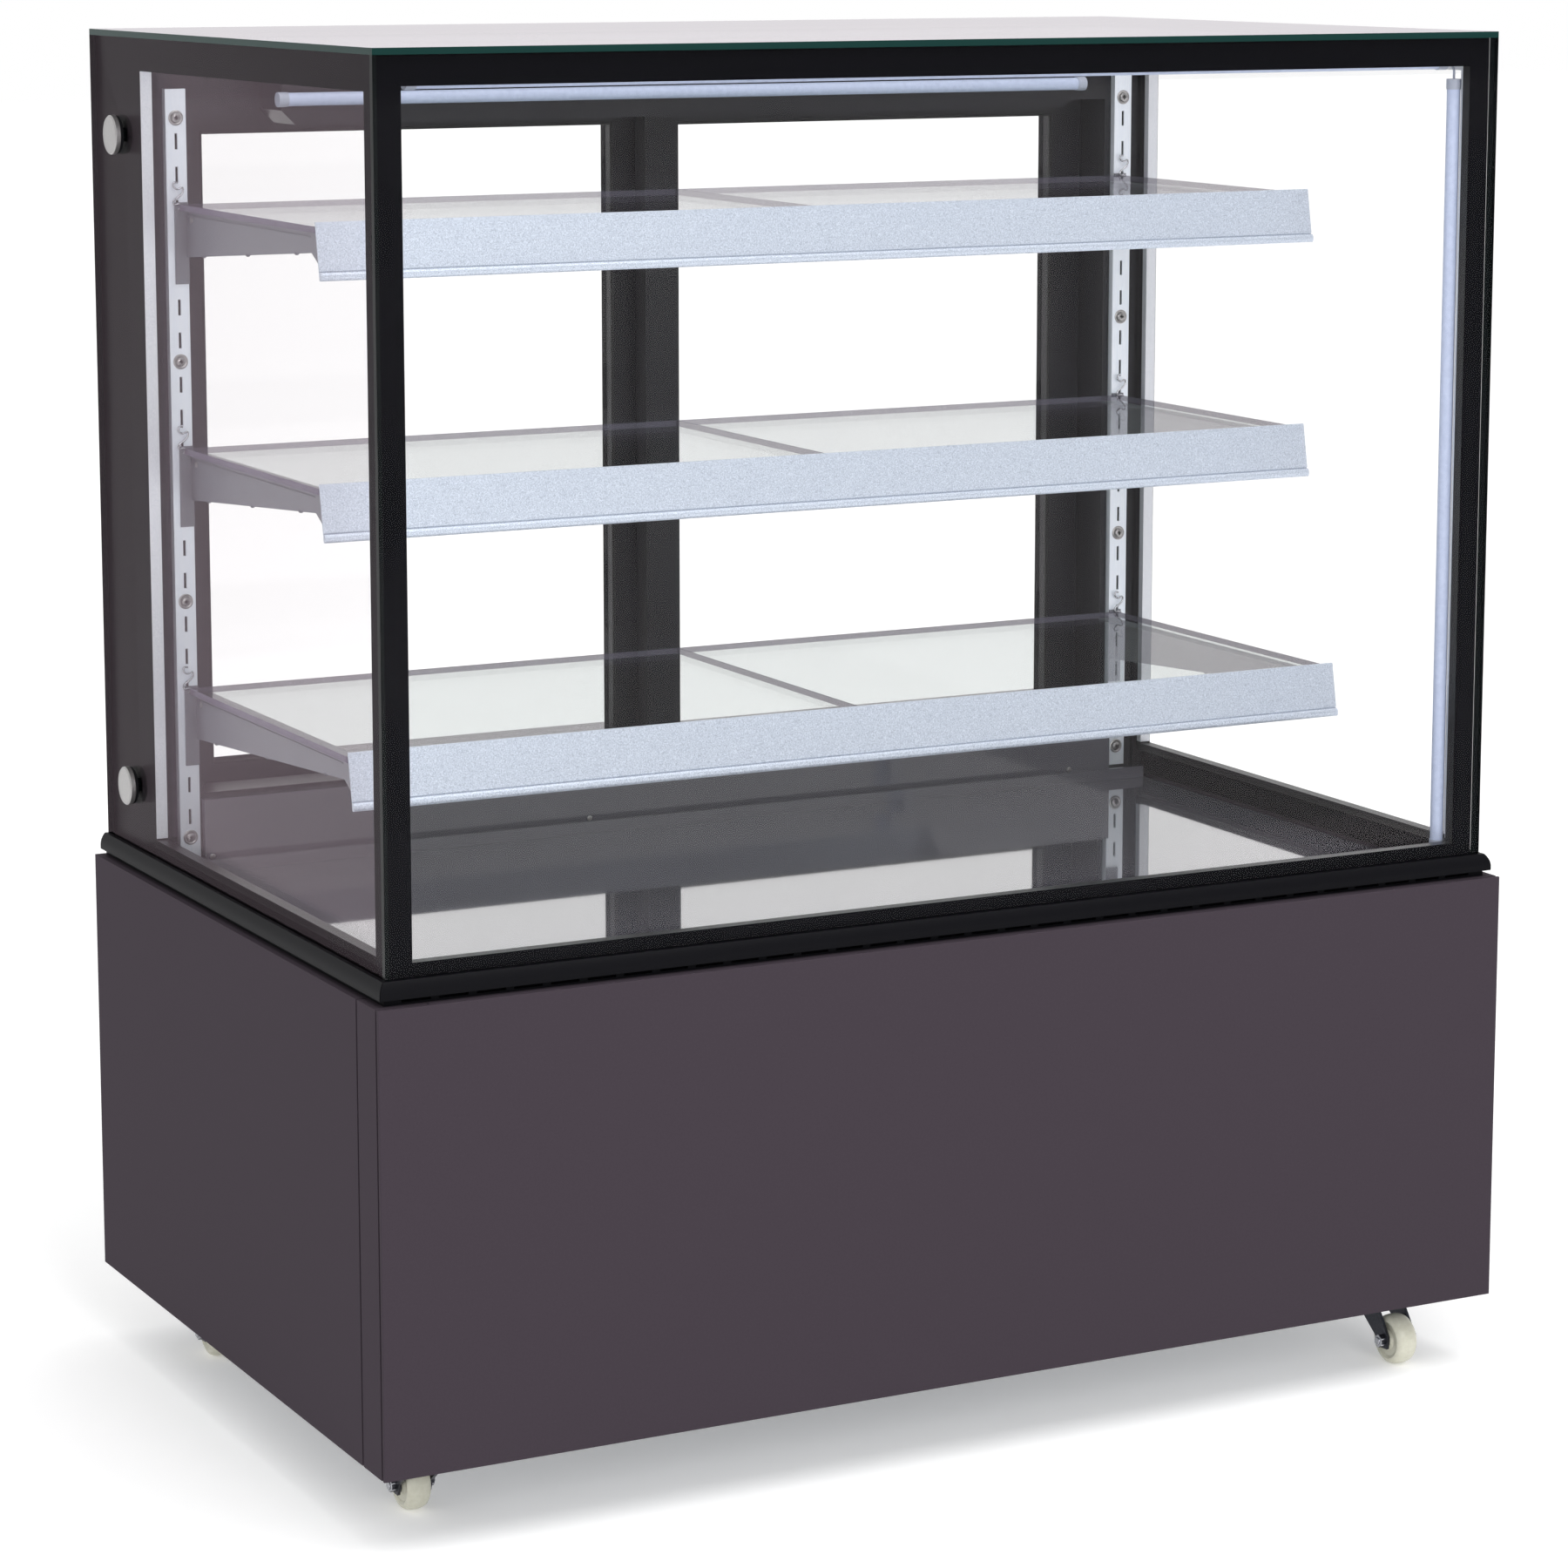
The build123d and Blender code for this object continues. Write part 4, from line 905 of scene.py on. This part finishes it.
@dataclass
class ShelfFittings:
    """Wire clips, arm beads and painted shade strips of the shelf uprights, in millimetres."""

    paint: Paintbox
    tops: tuple[float, ...] = SHELF_TOPS
    noses: tuple[float, ...] = SHELF_NOSES
    upright_x: float = 541.0
    upright_face: float = 254.0
    arm_x: float = ARM_FACE
    wire_radius: float = 0.9
    bead_proud: float = 0.7
    nub_shares: tuple[float, ...] = (0.12, 0.5, 0.86)
    arm_taper: float = 26.0
    strip_half: float = 6.5
    strip_front: float = 257.0
    strip_low: float = 518.0
    strip_high: float = 1279.0

    def clip_line(self, x: float, top: float) -> list[tuple[float, float, float]]:
        """Points of one bent wire clip, in millimetres, from its upper to its lower end."""
        face = self.upright_face - self.wire_radius - 2.2
        shape = (
            (0.0, 15.0, 1.8),
            (-4.0, 16.5, 0.6),
            (-5.5, 12.0, 0.0),
            (-1.0, 8.0, 0.0),
            (4.5, 11.5, 0.0),
            (5.5, 6.5, 0.0),
            (0.5, 1.5, 0.0),
            (-5.5, -2.0, 0.0),
            (-4.5, -7.0, 0.0),
            (0.5, -5.0, 0.0),
            (4.5, -8.5, 0.6),
            (0.0, -11.0, 1.8),
        )
        return [(x + a, face + back, top + 6.0 + b) for a, b, back in shape]

    def clips(self) -> None:
        """Bend the six wire clips and store them as one mesh."""
        curve = bpy.data.curves.new("clip_wire", "CURVE")
        curve.dimensions = "3D"
        curve.bevel_depth = self.wire_radius * MM
        curve.bevel_resolution = 3
        curve.use_fill_caps = True
        for side in Side:
            for top in self.tops:
                points = self.clip_line(side.value * self.upright_x, top)
                spline = curve.splines.new("NURBS")
                spline.points.add(len(points) - 1)
                for point, place in zip(spline.points, points):
                    point.co = (*(v * MM for v in place), 1.0)
                spline.order_u = 3
                spline.use_endpoint_u = True
                spline.resolution_u = 6
        wire = bpy.data.objects.new("clip_wire", curve)
        bpy.context.scene.collection.objects.link(wire)
        shape = bmesh.new()
        shape.from_mesh(bpy.data.meshes.new_from_object(wire))
        bpy.data.objects.remove(wire)
        fit_out(
            "shelf_wire_clips",
            shape,
            self.paint.take(SPRING_WIRE),
            CASE,
            60.0,
        )

    def beads(self) -> None:
        """Press the raised line under the top edge of each arm, and its nubs below."""
        shape = bmesh.new()
        nub = turned([(2.6, 0.0), (2.4, 1.4), (1.4, 2.4), (0.0, 2.7)], 12)
        for top, nose in zip(self.tops, self.noses):
            for side in Side:
                faces = sorted(
                    (side.value * self.arm_x, side.value * (self.arm_x + self.bead_proud))
                )
                bar(
                    shape,
                    (faces[0], nose + 30, top - 12.0),
                    (faces[1], 248.0, top - 10.6),
                    0.3,
                )
                reach = self.upright_face - (nose + 28.0)
                for share in self.nub_shares:
                    y = nose + 28.0 + reach * share
                    low = top - self.arm_taper * (1.0 + share) + 1.2
                    stamp(
                        shape,
                        nub,
                        along_axis((side.value * (self.arm_x - 1.0), y, low), (0, 0, -1)),
                    )
        fit_out(
            "bracket_beads", shape, self.paint.take(BRACKET_GREY), CASE
        )

    def slot_painted_shade(self) -> None:
        """Put a dark strip in each slotted upright as painted shade, so its slots read as shaded
        holes.
        """
        shape = bmesh.new()
        for side in Side:
            x = side.value * self.upright_x
            low = (x - self.strip_half, self.strip_front, self.strip_low)
            high = (x + self.strip_half, self.strip_front + 4.0, self.strip_high)
            # painted shade: a black bar stands in for the shade inside the upright's channel
            bar(shape, low, high, 0.4)
        fit_out(
            "upright_slot_backs", shape, self.paint.take(ABS_AND_PAINTED_SHADE), CASE
        )

    def build(self) -> None:
        """Build all the shelf fittings."""
        self.clips()
        self.beads()
        self.slot_painted_shade()


# ---------------------------------------------------------------- glazing


@dataclass
class Glazing:
    """Perforated spacer faces of the double glazing, in millimetres."""

    paint: Paintbox
    outer_face: float = 579.7
    bars: tuple[float, ...] = (-327.0, 249.0)
    bar_width: float = 8.0
    bar_low: float = 536.0
    bar_high: float = 1302.0
    hole_pitch: float = 5.0
    hole_radius: float = 1.15
    hole_inset: float = 1.7

    def perforations(self) -> None:
        """Stamp the two columns of small holes down each upright spacer bar."""
        dot = bmesh.new()
        bmesh.ops.create_circle(
            dot, cap_ends=True, radius=self.hole_radius * MM, segments=6
        )
        top = bmesh.ops.extrude_face_region(dot, geom=dot.faces[:])["geom"]
        raised = [v for v in top if isinstance(v, bmesh.types.BMVert)]
        bmesh.ops.translate(dot, verts=raised, vec=(0, 0, 0.06 * MM))
        pattern = keep(dot)
        shape = bmesh.new()
        count = int((self.bar_high - self.bar_low) // self.hole_pitch)
        half = self.bar_width / 2 - self.hole_inset
        for side in Side:
            for middle in self.bars:
                for column in (-half, half):
                    for i in range(count):
                        spot = (
                            side.value * self.outer_face,
                            middle + column,
                            self.bar_low + i * self.hole_pitch,
                        )
                        stamp(shape, pattern, along_axis(spot, (side.value, 0, 0)))
        fit_out(
            "spacer_perforations",
            shape,
            self.paint.take(HOLE_DARK),
            CASE,
        )

    def build(self) -> None:
        """Build the glazing details."""
        self.perforations()


# ---------------------------------------------------------------- doors


@dataclass
class SlidingDoor:
    """Gasket and pull lining of one rear door, in millimetres."""

    paint: Paintbox
    side: Side
    x_low: float
    x_high: float
    y_low: float
    thick: float = 24.0
    z_low: float = 556.0
    z_high: float = 1270.0
    rail: float = 36.0
    pull_width: float = 16.0
    pull_height: float = 120.0
    pull_depth: float = 6.0

    def gasket(self) -> None:
        """Lay the rubber bead round the glass on both faces of the door."""
        shape = bmesh.new()
        x0, x1 = self.x_low + self.rail, self.x_high - self.rail
        z0, z1 = self.z_low + self.rail, self.z_high - self.rail
        width = 3.0
        for face_low, face_high in ((0.4, 1.9), (self.thick - 1.9, self.thick - 0.4)):
            a, b = self.y_low + face_low, self.y_low + face_high
            bar(shape, (x0, a, z0), (x0 + width, b, z1), 0.6)
            bar(shape, (x1 - width, a, z0), (x1, b, z1), 0.6)
            bar(shape, (x0 + width, a, z0), (x1 - width, b, z0 + width), 0.6)
            bar(shape, (x0 + width, a, z1 - width), (x1 - width, b, z1), 0.6)
        name = f"{self.side.name.lower()}_door"
        fit_out(
            f"{name}_gasket", shape, self.paint.take(MOULDED_RUBBER), name
        )

    def pull(self) -> None:
        """Line the finger pull with a moulded cup rim."""
        outer = self.x_high if self.side is Side.RIGHT else self.x_low
        middle = outer - self.side.value * self.rail / 2
        half = self.pull_width / 2
        z = (self.z_low + self.z_high) / 2
        face = self.y_low + self.thick
        high = self.pull_height / 2
        shape = bmesh.new()
        floor = face - self.pull_depth
        bar(shape, (middle - half, floor, z - high), (middle + half, floor + 0.5, z + high))
        lip = 1.0
        for low, top in (
            ((middle - half, z - high), (middle - half + lip, z + high)),
            ((middle + half - lip, z - high), (middle + half, z + high)),
            ((middle - half, z - high), (middle + half, z - high + lip)),
            ((middle - half, z + high - lip), (middle + half, z + high)),
        ):
            bar(shape, (low[0], floor + 0.5, low[1]), (top[0], face + 0.35, top[1]), 0.2)
        name = f"{self.side.name.lower()}_door"
        fit_out(
            f"{name}_pull_cup", shape, self.paint.take(ABS_AND_PAINTED_SHADE), name
        )

    def build(self) -> None:
        """Build the door's trim."""
        self.gasket()
        self.pull()


# ---------------------------------------------------------------- back of the cabinet


@dataclass
class ServiceBack:
    """Louvre hoods and the controller's window on the rear panel, in millimetres."""

    paint: Paintbox
    face: float = 372.0
    louvre_length: float = 80.0
    louvre_pitch: float = 14.0
    louvre_rows: int = 12
    louvre_xs: tuple[float, ...] = (135.0, 230.0, 325.0)
    first_z: float = 110.0
    slot_height: float = 5.0
    hood_depth: float = 2.4
    hood_height: float = 5.6
    hood_slant: float = 2.1
    hood_round: float = 0.3
    control_x: float = 340.0
    control_z: float = 446.0
    window_half: tuple[float, float] = (29.6, 12.6)
    window_steps: tuple[float, float] = (1.05, 1.8)

    def louvres(self) -> None:
        """Raise a slanting hood over each slot of the panel."""
        shape = bmesh.new()
        size = Vector((self.louvre_length, self.hood_depth, self.hood_height)) * MM
        middle_y = self.face + self.hood_depth / 2
        for x in self.louvre_xs:
            for row in range(self.louvre_rows):
                z = self.first_z + row * self.louvre_pitch + self.slot_height + 1.6
                place = Matrix.Translation(Vector((x, middle_y, z)) * MM)
                made = bmesh.ops.create_cube(
                    shape, size=1.0, matrix=place @ Matrix.Diagonal((*size, 1.0))
                )
                crest = [
                    v
                    for v in made["verts"]
                    if v.co.y > middle_y * MM and v.co.z > z * MM
                ]
                slant = (0, -self.hood_slant * MM, 0)
                bmesh.ops.translate(shape, verts=crest, vec=slant)
                edges = {e for v in made["verts"] for e in v.link_edges}
                bmesh.ops.bevel(
                    shape,
                    geom=list(edges),
                    affect="EDGES",
                    offset=self.hood_round * MM,
                    segments=2,
                    profile=0.5,
                    material=-1,
                )
        fit_out(
            "louvre_hoods", shape, self.paint.take(POWDER_PANEL), CASE
        )

    def window(self) -> None:
        """Set the controller's dark window in its frame."""
        shape = bmesh.new()
        x, z = self.control_x, self.control_z
        wide, high = self.window_half
        back, front = (self.face + step for step in self.window_steps)
        bar(shape, (x - wide, back, z - high), (x + wide, front, z + high), 0.3)
        fit_out(
            "controller_window",
            shape,
            self.paint.take(DISPLAY_LENS),
            CASE,
        )

    def build(self) -> None:
        """Build the back's details."""
        self.louvres()
        self.window()


# ---------------------------------------------------------------- castors


@dataclass
class CastorTrim:
    """Turned wheel and axle nuts of one castor, in millimetres."""

    paint: Paintbox
    corner: str
    x: float
    axle_y: float
    axle_z: float = 25.0
    radius: float = 25.0
    width: float = 24.0
    bore: float = 4.05
    fork_face: float = 17.0

    def wheel(self) -> None:
        """Turn the tread, the dished side and the hub of the wheel."""
        half = self.width / 2
        side = [
            (self.bore, half),
            (8.0, half),
            (9.0, half - 1.2),
            (10.5, half - 2.6),
            (16.5, half - 2.6),
            (18.0, half - 0.9),
            (19.2, half - 0.3),
            (21.2, half - 0.9),
            (23.2, half - 2.6),
            (24.4, half - 5.2),
            (self.radius, half - 8.5),
        ]
        outline = side + [(r, -h) for r, h in reversed(side)] + [side[0]]
        shape = bmesh.new()
        pattern = turned(outline, 48)
        spot = (self.x, self.axle_y, self.axle_z)
        stamp(shape, pattern, along_axis(spot, (1, 0, 0)))
        bmesh.ops.remove_doubles(shape, verts=shape.verts, dist=1e-6)
        piece = fit_out(
            f"wheel_tread_{self.corner}",
            shape,
            self.paint.take(CAST_NYLON),
            f"wheel_{self.corner}",
        )
        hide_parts(f"castor_wheel_{self.corner}")

    def nuts(self) -> None:
        """Put a bright six-sided nut and the axle's end on each side of the fork."""
        nut = bmesh.new()
        bmesh.ops.create_cone(
            nut,
            cap_ends=True,
            segments=6,
            radius1=6.9 * MM,
            radius2=6.9 * MM,
            depth=4.6 * MM,
            matrix=Matrix.Translation((0, 0, 2.3 * MM)),
        )
        rim = [e for e in nut.edges if all(v.co.z > 4 * MM for v in e.verts)]
        bmesh.ops.bevel(
            nut,
            geom=rim,
            affect="EDGES",
            offset=0.7 * MM,
            segments=2,
            profile=0.5,
            material=-1,
        )
        pattern = keep(nut)
        stub = turned([(4.0, 4.0), (4.0, 5.6), (3.3, 6.2), (0.0, 6.2)], 20)
        shape = bmesh.new()
        for side in Side:
            spot = (self.x + side.value * self.fork_face, self.axle_y, self.axle_z)
            place = along_axis(spot, (side.value, 0, 0))
            stamp(shape, pattern, place)
            stamp(shape, stub, place)
        fit_out(
            f"axle_nuts_{self.corner}",
            shape,
            self.paint.take(SPRING_WIRE),
            f"fork_{self.corner}",
        )

    def build(self) -> None:
        """Build the castor's details."""
        self.wheel()
        self.nuts()


# ---------------------------------------------------------------- studio


@dataclass
class Studio:
    """White floor, soft light and the camera."""

    azimuth_deg: float = 27.55
    pitch_deg: float = 9.01
    camera_at: tuple[float, float, float] = (-2.0527, -3.9239, 1.4484)
    lens_mm: float = 103.34
    drop: float = 0.1
    floor_half_m: float = 30.0
    sky: float = 1.0
    front_sky: float = 0.45

    def world(self) -> None:
        """Light the scene from a white dome that is dimmer in front of the case."""
        world = bpy.data.worlds.new("studio_dome")
        bpy.context.scene.world = world
        world.use_nodes = True
        tree = world.node_tree
        tree.nodes.clear()
        way = add_node(tree, "ShaderNodeTexCoord").outputs["Generated"]
        toward = add_node(
            tree,
            "ShaderNodeVectorMath",
            settings={"operation": "DOT_PRODUCT"},
            values={1: (0.46, -0.888, 0.0)},
            links={0: way},
        ).outputs["Value"]
        level = add_node(
            tree,
            "ShaderNodeMapRange",
            settings={"interpolation_type": "SMOOTHSTEP"},
            values={
                "From Min": 0.55,
                "From Max": 0.95,
                "To Min": self.sky,
                "To Max": self.front_sky,
            },
            links={"Value": toward},
        ).outputs[0]
        dome = add_node(
            tree,
            "ShaderNodeBackground",
            values={"Color": (1.0, 1.0, 1.0, 1.0)},
            links={"Strength": level},
        )
        add_node(
            tree, "ShaderNodeOutputWorld", links={"Surface": dome.outputs[0]}
        )

    def floor(self) -> None:
        """Lay the plain pale floor."""
        shape = bmesh.new()
        bmesh.ops.create_grid(shape, x_segments=1, y_segments=1, size=self.floor_half_m)
        data = bpy.data.meshes.new("studio_floor")
        shape.to_mesh(data)
        shape.free()
        paint = Grained(
            "matt_floor_paint",
            "#f4f4f4",
            "#f8f8f8",
            0.9,
            grain_mm=40.0,
            relief_mm=0.0,
            specular=0.0,
            glow=0.22,
        )
        data.materials.append(paint.build())
        plane = bpy.data.objects.new("studio_floor", data)
        bpy.context.scene.collection.objects.link(plane)

    def lamp(
        self, name: str, at: tuple, aim: tuple, size: float, power: float
    ) -> None:
        """Hang one soft square light.

        Args:
            name: name of the light.
            at: place, in metres.
            aim: point it faces, in metres.
            size: side of the square, in metres.
            power: power in watts.
        """
        data = bpy.data.lights.new(name, "AREA")
        data.size = size
        data.energy = power
        light = bpy.data.objects.new(name, data)
        light.location = at
        way = Vector(aim) - Vector(at)
        light.rotation_euler = way.to_track_quat("-Z", "Y").to_euler()
        bpy.context.scene.collection.objects.link(light)

    def camera(self) -> None:
        """Set the camera in front and to the left, a little above the case."""
        data = bpy.data.cameras.new("studio_camera")
        data.lens = self.lens_mm
        data.sensor_width = 36.0
        data.shift_y = -self.drop
        data.clip_end = 100.0
        camera = bpy.data.objects.new("studio_camera", data)
        camera.location = self.camera_at
        camera.rotation_euler = (
            math.radians(90.0 - self.pitch_deg),
            0.0,
            math.radians(-self.azimuth_deg),
        )
        bpy.context.scene.collection.objects.link(camera)
        bpy.context.scene.camera = camera

    def build(self) -> None:
        """Set up the whole studio."""
        scene = bpy.context.scene
        scene.view_settings.view_transform = "Standard"
        scene.cycles.transparent_max_bounces = 40
        self.world()
        self.floor()
        self.lamp("top_softbox", (0.3, -2.0, 4.2), (0.0, 0.0, 0.8), 2.5, 60.0)
        self.lamp("front_softbox", (-0.6, -5.5, 2.6), (0.0, 0.0, 0.7), 2.2, 90.0)
        self.camera()


# ---------------------------------------------------------------- the whole case


def dress_nodes(frame: dict, paint: Paintbox) -> None:
    """Give every CAD node the finish of its material slot.

    Args:
        paint: store of finished materials.
    """
    for row in frame["record"]["subparts"]:
        node = frame["nodes"][row["node"]]
        finish = PANE_FINISH.get(row["node"]) or SLOT_FINISH[row["material_slot"]]
        material = paint.take(finish)
        if not node.material_slots:
            node.data.materials.append(material)
        for held in node.material_slots:
            held.material = material


def main() -> None:
    """Load the frame, build and dress every piece, and set the studio."""
    logging.basicConfig(level=logging.INFO, format="%(message)s")
    for item in list(bpy.data.objects):
        bpy.data.objects.remove(item)
    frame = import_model()
    paint = Paintbox()
    dress_nodes(frame, paint)
    Fixings(paint).build()
    ShelfFittings(paint).build()
    Glazing(paint).build()
    SlidingDoor(paint, Side.RIGHT, -7.05, 520.95, 310.0).build()
    SlidingDoor(paint, Side.LEFT, -520.95, 7.05, 342.0).build()
    ServiceBack(paint).build()
    for corner, x, axle_y in (
        ("front_left", -524.0, -252.0),
        ("front_right", 524.0, -322.0),
        ("rear_left", -524.0, 252.0),
        ("rear_right", 524.0, 322.0),
    ):
        CastorTrim(paint, corner, x, axle_y).build()
    Studio().build()


if __name__ == "__main__":
    main()
